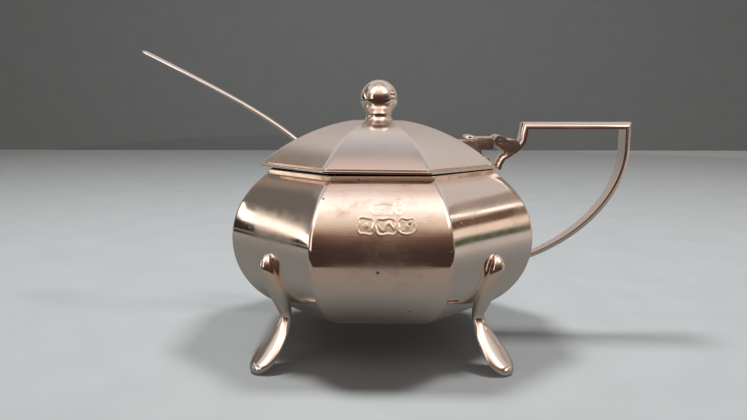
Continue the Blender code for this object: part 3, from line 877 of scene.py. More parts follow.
    def tree(self, name: str, material: bpy.types.Material) -> bpy.types.NodeTree:
        """Builds the Geometry Nodes tree that raises the blank.

        Args:
            name: the tree's name.
            material: what the raised sheet is made of.

        Returns:
            The tree, with one named input for each size.
        """
        tree = bpy.data.node_groups.new(name, "GeometryNodeTree")
        tree.interface.new_socket("Blank", in_out="INPUT", socket_type="NodeSocketGeometry")
        for size in self.SIZES:
            tree.interface.new_socket(size, in_out="INPUT", socket_type="NodeSocketFloat")
        tree.interface.new_socket("Raised", in_out="OUTPUT", socket_type="NodeSocketGeometry")
        graph = Graph(tree)
        given = graph.node("NodeGroupInput")
        axis_x, centre, height, radius, start, end, lip, crease, wobble, drop, edge = (
            given.out(size) for size in self.SIZES)
        across, along, _ = graph.parts(graph.node("GeometryNodeInputPosition"))
        panel = graph.maths("FLOOR", across)
        side = 2.0 * (across - panel) - 1.0
        share = 1.0 - abs(side)
        angle = start + (end - start) * graph.maths("MINIMUM", along, 1.0)
        past = graph.maths("MAXIMUM", along - 1.0, 0.0)
        cosine = graph.maths("COSINE", angle)
        sine = graph.maths("SINE", angle)
        flat = centre + radius * cosine - past * lip
        z = height + radius * sine
        fall = graph.node("ShaderNodeMapRange", {"interpolation_type": "SMOOTHSTEP"},
                          {0: flat, 1: edge, 2: edge * 0.62, 3: 0.0, 4: 1.0})
        z = z - drop * fall
        half = flat * math.tan(HALF_FACET)
        reach = graph.maths("MAXIMUM", crease - share, 0.0) * half
        bend = crease * half / math.tan(HALF_FACET)
        dip = bend - graph.maths("SQRT", bend * bend - reach * reach)
        shrink = 1.0 - dip * math.cos(HALF_FACET) / flat
        turn = panel * (math.tau / FACETS)
        out_x = graph.maths("COSINE", turn)
        out_y = graph.maths("SINE", turn)
        depth = flat * shrink
        width = side * half * shrink
        plain = graph.vector(depth * out_x - width * out_y, depth * out_y + width * out_x, z)
        uneven = graph.node("ShaderNodeTexNoise", inputs={
            "Vector": plain, "Scale": 85.0, "Detail": 1.5, "Roughness": 0.4})
        struck = graph.node("GeometryNodeInputNamedAttribute", {"data_type": "FLOAT"}, {"Name": "struck"})
        push = (uneven - 0.5) * wobble - struck
        level = cosine * push
        placed = graph.vector(
            depth * out_x - width * out_y + out_x * level + axis_x,
            depth * out_y + width * out_x + out_y * level, z + sine * push)
        inputs = {"Geometry": given.out("Blank"), "Position": placed}
        raised = graph.node("GeometryNodeSetPosition", inputs=inputs)
        sewn = graph.node("GeometryNodeMergeByDistance", inputs={"Geometry": raised, "Distance": 0.001 * MM})
        bright = graph.node("GeometryNodeSetShadeSmooth", inputs={"Geometry": sewn})
        real = graph.node("GeometryNodeRealizeInstances", inputs={"Geometry": bright})
        clad = graph.node("GeometryNodeSetMaterial", inputs={"Geometry": real, "Material": material})
        graph.node("NodeGroupOutput", inputs={"Raised": clad})
        return tree

    def raise_sheet(self, name: str, material: bpy.types.Material) -> bpy.types.Object:
        """Bends the blank, thickens it inwards and returns the plain closed piece.

        Args:
            name: the piece's name.
            material: what it is made of.

        Returns:
            The closed piece, with no modifiers.
        """
        sheet = self.blank(name)
        raising = sheet.modifiers.new("raising", "NODES")
        raising.node_group = self.tree(name + "_raising", material)
        start, end = math.radians(self.start_deg), math.radians(self.end_deg)
        sizes = (self.axis_x, self.arc_centre, self.arc_height, self.arc_radius, start, end, self.lip,
                 self.crease, self.wobble, self.crown_drop, self.crown_edge)
        give_sizes(raising, dict(zip(self.SIZES, sizes)))
        frozen(sheet)
        wall = sheet.modifiers.new("wall", "SOLIDIFY")
        wall.thickness = self.thickness
        wall.offset = -1.0
        frozen(sheet)
        sheet.data.set_sharp_from_angle(angle=math.radians(50.0))
        return sheet


# ---------------------------------------------------------------------------------------------------------
# Sub-assemblies
# ---------------------------------------------------------------------------------------------------------


@dataclass
class Body:
    """The raised body with its neck collar, base plate and glass liner.

    Attributes:
        bulge_radius: radius of the panels' upright arc.
        widest_z: height of the widest point.
        foot_deg: where the panels turn in to the bottom lip.
        lip: width of that lip.
        marks: the punched marks on the front panel.
    """

    bulge_radius: float = 15.9 * MM
    widest_z: float = 23.4 * MM
    foot_deg: float = -70.0
    lip: float = 2.0 * MM
    marks: tuple[PunchMark, ...] = (
        PunchMark(0.2 * MM, 32.1 * MM, 1.9 * MM, 0.75 * MM, 0.3 * MM, Motif.BEADS),
        PunchMark(3.0 * MM, 32.3 * MM, 0.85 * MM, 1.05 * MM, 0.6 * MM, Motif.LOZENGE),
        PunchMark(-2.7 * MM, 29.3 * MM, 1.2 * MM, 1.25 * MM, 0.3 * MM, Motif.LOZENGE),
        PunchMark(0.8 * MM, 29.2 * MM, 1.7 * MM, 1.2 * MM, 0.4 * MM, Motif.WAVE),
        PunchMark(4.45 * MM, 29.3 * MM, 1.4 * MM, 1.15 * MM, 0.45 * MM, Motif.BEADS),
    )

    def __post_init__(self) -> None:
        """Reads the places of the pot's axis, its width and its collar from the frame."""
        low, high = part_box("body_shell")
        self.axis = Vector(((low.x + high.x) / 2, 0.0, 0.0))
        self.widest = (high.x - low.x) / 2
        collar_low, collar_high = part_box("neck_collar")
        self.collar_outer = (collar_high.x - collar_low.x) / 2
        self.collar_z = (collar_low.z, collar_high.z)

    def flat_at(self, z: float) -> float:
        """The body's half width across flats at a height; 0 below its foot.

        Args:
            z: height above the table.

        Returns:
            The half width, to the outside of the panels.
        """
        rise = z - self.widest_z
        if rise < self.bulge_radius * math.sin(math.radians(self.foot_deg)):
            return 0.0
        return self.widest - self.bulge_radius + math.sqrt(self.bulge_radius**2 - rise**2)

    def make(self) -> None:
        """Builds and dresses every piece of the body."""
        self.make_shell()
        self.make_collar()
        self.make_base()
        self.make_liner()

    def make_shell(self) -> None:
        """The bulging shell, soldered to the collar."""
        centre = self.widest - self.bulge_radius
        start = math.degrees(math.acos((self.collar_outer - 0.05 * MM - centre) / self.bulge_radius))
        panels = RaisedPanels(
            axis_x=self.axis.x, arc_centre=centre, arc_height=self.widest_z,
            arc_radius=self.bulge_radius - 0.03 * MM, start_deg=start, end_deg=self.foot_deg, lip=self.lip,
            crease=0.05, wobble=0.06 * MM, marks=self.marks)
        shell = panels.raise_sheet("raised_body", Finishes.body.build())
        show(shell, "pot", Finishes.body, "body_shell")

    def make_collar(self) -> None:
        """The neck band, leaning in a little, with a softly rounded rim."""
        low, high = self.collar_z
        high += SOLDER / 2
        top = self.collar_outer - 0.4 * MM
        inner = self.collar_outer - 0.9 * MM
        corners = [(top, high), (self.collar_outer, low), (inner, low), (inner, high)]
        collar = settle(octagonal(softened_outline(corners, 0.2 * MM), self.axis), "neck_band")
        show(collar, "pot", Finishes.collar, "neck_collar")

    def make_base(self) -> None:
        """The flat eight-sided plate let in under the body, with broken edges, resting on the lip."""
        low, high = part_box("base_plate")
        flat = (high.x - low.x) / 2
        edge = 0.15 * MM
        bottom = low.z - SOLDER
        profile = [(flat * 0.02, high.z), (flat * 0.6, high.z), (flat - edge, high.z), (flat, high.z - edge),
                   (flat, bottom + edge), (flat - edge, bottom), (flat * 0.6, bottom), (flat * 0.02, bottom)]
        columns = []
        for panel in range(FACETS):
            turn = Matrix.Rotation(math.tau * panel / FACETS, 3, "Z")
            for place in panel_stops(0.03, 6):
                side = (2 * place - 1) * math.tan(HALF_FACET)
                columns.append([self.axis + turn @ Vector((r, r * side, 0.0)) + Vector((0.0, 0.0, z))
                                for r, z in profile])
        rings = [list(ring) for ring in zip(*columns)]
        plate = settle(grid_body(rings, wrap=False, caps=True), "bottom_plate")
        show(plate, "pot", Finishes.base, "base_plate")

    def make_liner(self) -> None:
        """The blown glass cup with a ground, rounded rim."""
        low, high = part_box("glass_liner")
        radius = (high.x - low.x) / 2
        wall = 1.3 * MM
        bend = 2.4 * MM
        rim = wall / 2
        profile = [(0.0, low.z)] + arc((radius - bend, low.z + bend), bend, -90, 0, 10)
        profile += arc((radius - rim, high.z - rim), rim, 0, 180, 12)
        profile += arc((radius - wall - bend / 2, low.z + wall + bend / 2 + 0.3 * MM), bend / 2, 0, -90, 8)
        profile += [(0.0, low.z + wall + 0.3 * MM)]
        columns = [list(column) for column in zip(*turned_rows(profile, self.axis))]
        liner = settle(grid_body(columns, wrap=False), "blue_glass_liner")
        show(liner, "pot", Finishes.glass, "glass_liner")


@dataclass
class Legs:
    """Four cast cabriole legs, one built from listed stations and repeated by a Geometry Nodes tree.

    Attributes:
        stations: distance from the axis, height, half thickness and half width in millimetres, knee to toe.
        sides: points round a section.
        per_span: sections between two stations.
    """

    stations: tuple[tuple[float, float, float, float], ...] = (
        (30.1, 22.15, 0.3, 0.45),
        (30.35, 22.0, 0.6, 0.9),
        (30.6, 21.1, 1.0, 1.35),
        (30.45, 19.8, 1.35, 1.7),
        (29.6, 17.9, 1.5, 1.95),
        (28.2, 15.1, 1.5, 2.1),
        (27.0, 12.5, 1.35, 1.8),
        (26.3, 10.4, 1.1, 1.3),
        (26.5, 8.8, 1.05, 1.35),
        (27.5, 7.0, 1.05, 2.1),
        (29.2, 5.0, 1.1, 2.8),
        (30.9, 3.15, 1.15, 3.1),
        (32.3, 1.75, 1.1, 2.8),
        (33.3, 1.0, 0.95, 2.1),
        (34.0, 0.85, 0.7, 1.3),
        (34.3, 0.85, 0.35, 0.5),
    )
    sides: int = 28
    per_span: int = 5

    NODES = ("leg_front_left", "leg_front_right", "leg_back_right", "leg_back_left")

    def make(self, body: Body) -> None:
        """Builds the four legs.

        Args:
            body: the body that they are soldered to.
        """
        leg = settle(self.one_leg(body), "cast_legs")
        ring = leg.modifiers.new("four_legs", "NODES")
        ring.node_group = self.tree(Finishes.leg.build())
        give_sizes(ring, {"Count": len(self.NODES), "Axis X": body.axis.x, "First Turn": math.pi / 4})
        frozen(leg)
        show(leg, "pot", Finishes.leg, *self.NODES)

    def one_leg(self, body: Body) -> bmesh.types.BMesh:
        """Makes a leg along +X with oval sections square to its curve.

        Args:
            body: the body whose surface the back of the leg follows.

        Returns:
            The leg, flat where it stands on the table.
        """
        rows = self._smoothed()
        rings = []
        for index, row in enumerate(rows):
            along = rows[min(index + 1, len(rows) - 1)] - rows[max(index - 1, 0)]
            tangent = Vector((along[0], 0.0, along[1])).normalized()
            normal = Vector((-tangent.z, 0.0, tangent.x))
            ring = []
            for side in range(self.sides):
                turn = math.tau * side / self.sides
                keel = 1.0 + 0.12 * max(math.cos(turn), 0.0) ** 4
                point = Vector((row[0], 0.0, row[1])) + normal * row[2] * math.cos(turn) * keel
                point.y += row[3] * math.sin(turn)
                point.z = max(point.z, 0.0)
                point.x = max(point.x, body.flat_at(point.z) - 0.2 * MM)
                ring.append(point)
            rings.append(ring)
        return grid_body(rings, wrap=False, caps=True)

    def _smoothed(self) -> list[Vector]:
        """Catmull-Rom rows through the stations, in metres.

        Returns:
            The rows, from the knee to the toe.
        """
        rows = [Vector(station) * MM for station in self.stations]
        rows = [2 * rows[0] - rows[1]] + rows + [2 * rows[-1] - rows[-2]]
        points = []
        for a, b, c, d in zip(rows, rows[1:], rows[2:], rows[3:]):
            for i in range(self.per_span):
                t = i / self.per_span
                bend = (c - a) * t + (2 * a - 5 * b + 4 * c - d) * t**2 + (3 * b - a - 3 * c + d) * t**3
                points.append(b + 0.5 * bend)
        return points + [rows[-2]]

    @staticmethod
    def tree(material: bpy.types.Material) -> bpy.types.NodeTree:
        """A tree that sets copies of its input evenly round an upright axis.

        Args:
            material: what the copies are made of.

        Returns:
            The tree, with inputs for the count, the axis and the first turn.
        """
        tree = bpy.data.node_groups.new("legs_round_the_pot", "GeometryNodeTree")
        tree.interface.new_socket("Leg", in_out="INPUT", socket_type="NodeSocketGeometry")
        tree.interface.new_socket("Count", in_out="INPUT", socket_type="NodeSocketInt")
        tree.interface.new_socket("Axis X", in_out="INPUT", socket_type="NodeSocketFloat")
        tree.interface.new_socket("First Turn", in_out="INPUT", socket_type="NodeSocketFloat")
        tree.interface.new_socket("Legs", in_out="OUTPUT", socket_type="NodeSocketGeometry")
        graph = Graph(tree)
        given = graph.node("NodeGroupInput")
        foot = graph.vector(given.out("Axis X"), 0.0, 0.0)
        points = graph.node("GeometryNodePoints", inputs={"Count": given.out("Count"), "Position": foot})
        index = graph.node("GeometryNodeInputIndex")
        turn = given.out("First Turn") + index * math.tau / given.out("Count")
        inputs = {"Points": points, "Instance": given.out("Leg"), "Rotation": graph.vector(0.0, 0.0, turn)}
        copies = graph.node("GeometryNodeInstanceOnPoints", inputs=inputs)
        real = graph.node("GeometryNodeRealizeInstances", inputs={"Geometry": copies})
        clad = graph.node("GeometryNodeSetMaterial", inputs={"Geometry": real, "Material": material})
        graph.node("NodeGroupOutput", inputs={"Legs": clad})
        return tree


@dataclass
class Handle:
    """The strap handle and the fixed half of the hinge.

    Attributes:
        root: the strap's middle line from the shoulder up to the bar, from the pot's axis, in millimetres.
        bar_left: where the level bar starts.
        bar_z: its height.
        bar_right: how far out its corner is.
        straight_z: where the outer grip starts to sweep in.
        pull_a, pull_b: the sweep's two handles.
        end: the strap's lower end.
        sweep_steps: sections along the sweep.
        half_width, half_thick: half the strap's width and thickness.
        end_half_width, end_half_thick: the same at its lower end.
        sides: points round a section.
    """

    root: tuple[Point2, ...] = (
        (24.3, 36.7), (24.7, 37.9), (25.4, 39.1), (27.0, 40.1), (28.5, 41.2), (29.5, 42.6))
    bar_left: float = 30.0
    bar_z: float = 45.8
    bar_right: float = 51.6
    straight_z: float = 41.0
    pull_a: Point2 = (51.6, 30.6)
    pull_b: Point2 = (42.0, 20.6)
    end: Point2 = (28.9, 16.55)
    sweep_steps: int = 60
    half_width: float = 2.2
    end_half_width: float = 1.3
    half_thick: float = 0.75
    end_half_thick: float = 0.55
    sides: int = 28

    def make(self, axis: Vector) -> None:
        """Builds the strap, the bracket and the pin.

        Args:
            axis: the foot of the pot's upright axis.
        """
        strap = settle(grid_body(self._sections(axis), wrap=False, caps=True), "handle_strap_bent")
        show(strap, "pot", Finishes.strap, "handle_strap")
        bracket = softened("hinge_bracket", "hinge_bracket_filed", 0.4 * MM, 3)
        show(bracket, "pot", Finishes.hinge, "hinge_bracket")
        show(softened("hinge_pin", "hinge_pin_trimmed", 0.06 * MM), "pot", Finishes.hinge, "hinge_pin")

    def _line(self) -> list[Point2]:
        """The strap's middle line, in millimetres from the pot's axis.

        Returns:
            Its points, from the shoulder to the lower end.
        """
        line = [*self.root, (self.bar_left, self.bar_z), (self.bar_right, self.bar_z),
                (self.bar_right, self.straight_z)]
        ends = (line[-1], self.pull_a, self.pull_b, self.end)
        for i in range(1, self.sweep_steps + 1):
            t = i / self.sweep_steps
            weights = ((1 - t) ** 3, 3 * t * (1 - t) ** 2, 3 * t**2 * (1 - t), t**3)
            line.append(tuple(sum(w * point[k] for w, point in zip(weights, ends)) for k in (0, 1)))
        return line

    def _sections(self, axis: Vector) -> list[list[Vector]]:
        """Half-round sections along the line, mitred at its corners, with their flat side inside.

        Args:
            axis: the foot of the pot's upright axis.

        Returns:
            The sections, in metres.
        """
        line = [Vector((x, 0.0, z)) for x, z in self._line()]
        last = len(line) - 1
        sections = []
        for index, point in enumerate(line):
            arriving = (point - line[index - 1]).normalized() if index else (line[1] - point).normalized()
            leaving = (line[index + 1] - point).normalized() if index < last else arriving
            along = (arriving + leaving).normalized()
            across = Vector((-along.z, 0.0, along.x))
            mitre = 1.0 / max(along.dot(leaving), 0.5)
            fade = max(0.0, (index - last + self.sweep_steps) / self.sweep_steps)
            thick = self.half_thick + (self.end_half_thick - self.half_thick) * fade
            wide = self.half_width + (self.end_half_width - self.half_width) * fade
            ring = []
            for step in range(self.sides):
                turn = math.tau * step / self.sides
                lift, edge = math.sin(turn), math.cos(turn)
                out = 1.8 * max(lift, 0.0) ** 0.9 - 0.8 - 0.2 * min(-min(lift, 0.0) * 4.0, 1.0)
                over = math.copysign(abs(edge) ** 0.8, edge)
                ring.append(point + across * out * thick * mitre + Vector((0.0, over * wide, 0.0)))
            sections.append([axis + corner * MM for corner in ring])
        return sections


@dataclass
class Lid:
    """Flange, dome, hinge leaf, thumbpiece and finial; the flange, dome and finial are tipped a little as
    the lid rests on the spoon.

    Attributes:
        rest_deg: how far open the lid rests.
        shift: how far the lid's axis lies from the pot's.
        dome_radius: radius of the dome's upright arc.
        dome_top: height at which that arc would meet the axis.
        crown_half: half width of the crown that is drawn down to seat the finial.
        crown_z: height of the seat.
        hole: radius of the stud's hole.
        flange_z, flange_thick: height of the flange's underside, and its gauge.
        flange_half, flange_inner: its half width across flats, outside and inside.
        notch_deg: bearing of the spoon's notch.
        notch_half: half the notch's width.
        notch_inner: how far from the axis its round end reaches.
        ball, ball_z: the knob's radius and the height of its middle.
        neck, ring: radii of the knob's neck and of the ring under it.
    """

    rest_deg: float = 0.6
    shift: float = -0.8 * MM
    dome_radius: float = 34.7 * MM
    dome_top: float = 46.3 * MM
    crown_half: float = 5.6 * MM
    crown_z: float = 45.75 * MM
    hole: float = 1.0 * MM
    flange_z: float = 37.5 * MM
    flange_thick: float = 0.4 * MM
    flange_half: float = 23.55 * MM
    flange_inner: float = 20.2 * MM
    notch_deg: float = 135.0
    notch_half: float = 3.2 * MM
    notch_inner: float = 19.6 * MM
    ball: float = 3.9 * MM
    ball_z: float = 51.15 * MM
    neck: float = 2.85 * MM
    ring: float = 3.3 * MM

    def __post_init__(self) -> None:
        """Finds the hinge in the frame."""
        hinge = next(joint for joint in frame["joints"] if joint["name"] == "lid_hinge")
        pivot = Vector(hinge["pos_m"])
        self.tilt = (Matrix.Translation(pivot) @ Matrix.Rotation(math.radians(self.rest_deg), 4, "Y")
                     @ Matrix.Translation(-pivot))

    def make(self, axis: Vector) -> None:
        """Builds and dresses every piece of the lid.

        Args:
            axis: the foot of the pot's upright axis.
        """
        self.axis = axis + Vector((self.shift, 0.0, 0.0))
        self.make_cover(axis)
        arm = softened("lid_hinge_arm", "hinge_leaf_filed", 0.34 * MM, 3)
        show(arm, "lid", Finishes.hinge, "lid_hinge_arm")
        show(softened("thumbpiece", "thumb_bar", 0.04 * MM), "lid", Finishes.hinge, "thumbpiece")
        self.make_finial()
        for node, finish in (("finial_washer", Finishes.fitting), ("finial_nut", Finishes.fitting),
                             ("finial_stud", Finishes.stud)):
            show(softened(node, node + "_trimmed", 0.05 * MM), "lid", finish, node)

    def make_cover(self, pot_axis: Vector) -> None:
        """Dome and flange, with the spoon's notch cut through both.

        Args:
            pot_axis: the foot of the pot's upright axis.
        """
        centre_z = self.dome_top - self.dome_radius
        start = math.degrees(math.asin((self.flange_z + self.flange_thick - centre_z) / self.dome_radius))
        end = math.degrees(math.acos(self.hole / self.dome_radius))
        crown_arc = centre_z + math.sqrt(self.dome_radius**2 - (self.crown_half * 0.62) ** 2)
        panels = RaisedPanels(
            axis_x=self.axis.x, arc_centre=0.0, arc_height=centre_z, arc_radius=self.dome_radius - 0.02 * MM,
            start_deg=start, end_deg=end, crease=0.04, wobble=0.05 * MM, crown_drop=crown_arc - self.crown_z,
            crown_edge=self.crown_half, thickness=0.7 * MM, rows=60)
        dome = panels.raise_sheet("raised_dome", Finishes.lid.build())
        dome.data.flip_normals()
        dome.data.transform(self.tilt)
        top = self.flange_z + self.flange_thick
        corners = [(self.flange_half, top), (self.flange_half, self.flange_z),
                   (self.flange_inner, self.flange_z), (self.flange_inner, top)]
        flange = octagonal(softened_outline(corners, 0.12 * MM), self.axis, flat_steps=12)
        rim = settle(flange, "lid_rim", self.tilt)
        notch = self._notch(pot_axis)
        for piece in (dome, rim):
            cut = piece.modifiers.new("spoon_notch", "BOOLEAN")
            cut.operation = "DIFFERENCE"
            cut.solver = "EXACT"
            cut.object = notch
            frozen(piece)
        bpy.data.objects.remove(notch)
        show(dome, "lid", Finishes.lid, "lid_dome")
        show(rim, "lid", Finishes.lid, "lid_flange")

    def _notch(self, pot_axis: Vector) -> bpy.types.Object:
        """The cutter for the notch: a slot with a round inner end, open at the rim.

        Args:
            pot_axis: the foot of the pot's upright axis.

        Returns:
            The cutter, tipped with the lid.
        """
        outer = self.flange_half + 4 * MM
        outline = [(outer, -self.notch_half), (outer, self.notch_half)]
        outline += arc((self.notch_inner + self.notch_half, 0.0), self.notch_half, 90, 270, 24)
        turn = Matrix.Rotation(math.radians(self.notch_deg), 3, "Z")
        rings = [[pot_axis + turn @ Vector((r, t, 0.0)) + Vector((0.0, 0.0, z)) for r, t in outline]
                 for z in (36.0 * MM, 42.0 * MM)]
        return settle(grid_body(rings, wrap=False, caps=True), "notch_cutter", self.tilt)

    def make_finial(self) -> None:
        """The turned knob on its ring, in two pieces as they were made."""
        ball, neck = self.ball, self.neck
        seat = self.crown_z + 0.02 * MM
        cut = self.ball_z - math.sqrt(ball**2 - neck**2)
        bead = 0.32 * MM
        collar = [(self.hole, seat), (3.1 * MM, seat), (3.12 * MM, seat + 0.14 * MM)]
        collar += arc((self.ring - bead, seat + bead + 0.2 * MM), bead, -75, 75, 10)
        collar += arc((neck + 0.4 * MM, seat + 1.2 * MM), 0.35 * MM, -110, -170, 6)
        collar += arc((neck + 1.25 * MM, (seat + cut) / 2 + 0.55 * MM), 1.45 * MM, -132, -222, 14)
        collar += [(neck - 0.03 * MM, cut + 0.02 * MM), (self.hole, cut + 0.02 * MM)]
        self._turn(collar, "finial_foot", "finial_collar")
        start = -math.degrees(math.acos((neck + 0.02 * MM) / ball))
        knob = [(self.hole, cut + 0.03 * MM)] + arc((0.0, self.ball_z), ball, start, 90, 40)
        knob += [(0.0, self.ball_z), (self.hole, self.ball_z - 0.6 * MM)]
        self._turn(knob, "finial_knob", "finial_ball")

    def _turn(self, profile: list[Point2], name: str, node: str) -> None:
        """Turns a profile on the lid's axis and tips it with the lid."""
        piece = settle(grid_body(turned_rows(profile, self.axis)), name, self.tilt)
        show(piece, "lid", Finishes.finial, node)


@dataclass
class Spoon:
    """The condiment spoon: oval bowl, thin stem, and a wider rounded end.

    Attributes:
        heading_deg: the plan direction in which the stem rises.
        notch: the point where the stem passes the lid, from the pot's axis.
        near_slope: slope of the stem inside the pot.
        far_slope: slope of its far end.
        bend: distance over which the slope changes.
        reach: from the notch to the tip, on plan.
        depth: from the notch to the bowl's shoulder, on plan.
        bowl: the bowl's length, on plan.
        bowl_half: half the bowl's width.
        dish: how deep the bowl is.
        stem_steps, bowl_steps: sections along the stem and along the bowl.
        sides: points round a section.
    """

    heading_deg: float = 165.0
    notch: tuple[float, float, float] = (-15.7 * MM, 14.4 * MM, 37.6 * MM)
    near_slope: float = 0.95
    far_slope: float = 0.455
    bend: float = 10.0 * MM
    reach: float = 46.0 * MM
    depth: float = 16.5 * MM
    bowl: float = 9.5 * MM
    bowl_half: float = 4.1 * MM
    dish: float = 1.7 * MM
    stem_steps: int = 90
    bowl_steps: int = 28
    sides: int = 24

    def make(self, axis: Vector) -> None:
        """Builds the spoon.

        Args:
            axis: the foot of the pot's upright axis.
        """
        angle = math.radians(self.heading_deg)
        heading = Vector((math.cos(angle), math.sin(angle), 0.0))
        side = Vector((-heading.y, heading.x, 0.0))
        foot = axis + Vector((self.notch[0], self.notch[1], 0.0))
        step = 0.2 * MM
        rings = []
        for along, half_width, half_thick, dish in self._stations():
            rise = self._height(along + step) - self._height(along - step)
            tangent = (heading * 2 * step + Vector((0.0, 0.0, rise))).normalized()
            up = side.cross(tangent)
            up = up if up.z > 0 else -up
            middle = foot + heading * along + Vector((0.0, 0.0, self._height(along)))
            ring = []
            for i in range(self.sides):
                turn = math.tau * i / self.sides
                across = math.cos(turn)
                lift = half_thick * math.sin(turn) - dish * (1.0 - across * across)
                ring.append(middle + side * half_width * across + up * lift)
            rings.append(ring)
        spoon = settle(grid_body(rings, wrap=False, caps=True), "condiment_spoon")
        show(spoon, "spoon", Finishes.spoon, "spoon")

    def _height(self, along: float) -> float:
        """The stem's height at a distance from the notch on plan; negative is inside the pot.

        Args:
            along: the distance.

        Returns:
            The height above the table.
        """
        if along < 0.0:
            return self.notch[2] + self.near_slope * along
        bent = (self.near_slope - self.far_slope) * self.bend * (1.0 - math.exp(-along / self.bend))
        return self.notch[2] + self.far_slope * along + bent

    def _stations(self) -> list[tuple[float, float, float, float]]:
        """Distance on plan, half width, half thickness and dish, from the bowl's lip to the stem's end.

        Returns:
            One row for each section.
        """
        stations = []
        for i in range(self.bowl_steps):
            t = i / self.bowl_steps
            oval = math.sqrt(max(0.0, 1.0 - (1.0 - 2.0 * min(t, 0.97)) ** 2))
            along = -self.depth - self.bowl * (1.0 - t)
            stations.append((along, max(0.3 * MM, self.bowl_half * oval), 0.33 * MM, self.dish * oval))
        for i in range(self.stem_steps + 1):
            t = i / self.stem_steps
            along = -self.depth + (self.reach - 0.15 * MM + self.depth) * t
            flare = max(0.0, (t - 0.55) / 0.45)
            shoulder = math.exp(-t * 60.0)
            tip = math.sqrt(max(0.04, 1.0 - max(0.0, (t - 0.978) / 0.022) ** 2))
            half_width = (0.62 + 0.72 * flare + 0.5 * shoulder) * MM * tip
            half_thick = (0.53 - 0.1 * flare) * MM * max(tip, 0.4)
            stations.append((along, half_width, half_thick, 0.15 * MM * shoulder))
        return stations


# ---------------------------------------------------------------------------------------------------------
# Studio
# ---------------------------------------------------------------------------------------------------------


@dataclass(frozen=True)
class SoftCard:
    """A soft-edged card of light or shade in the surroundings that the silver mirrors.

    Attributes:
        colour: its brightness in red, green and blue.
        azimuth: degrees to the right of the viewer's side.
        elevation: degrees above the table, at its middle.
        half_width: degrees.
        half_height: degrees.
        slant: how many degrees it rises for each degree to the right.
        soft: degrees over which its edges fade.
    """

    colour: Colour
    azimuth: float
    elevation: float
    half_width: float
    half_height: float
    slant: float = 0.0
    soft: float = 2.0


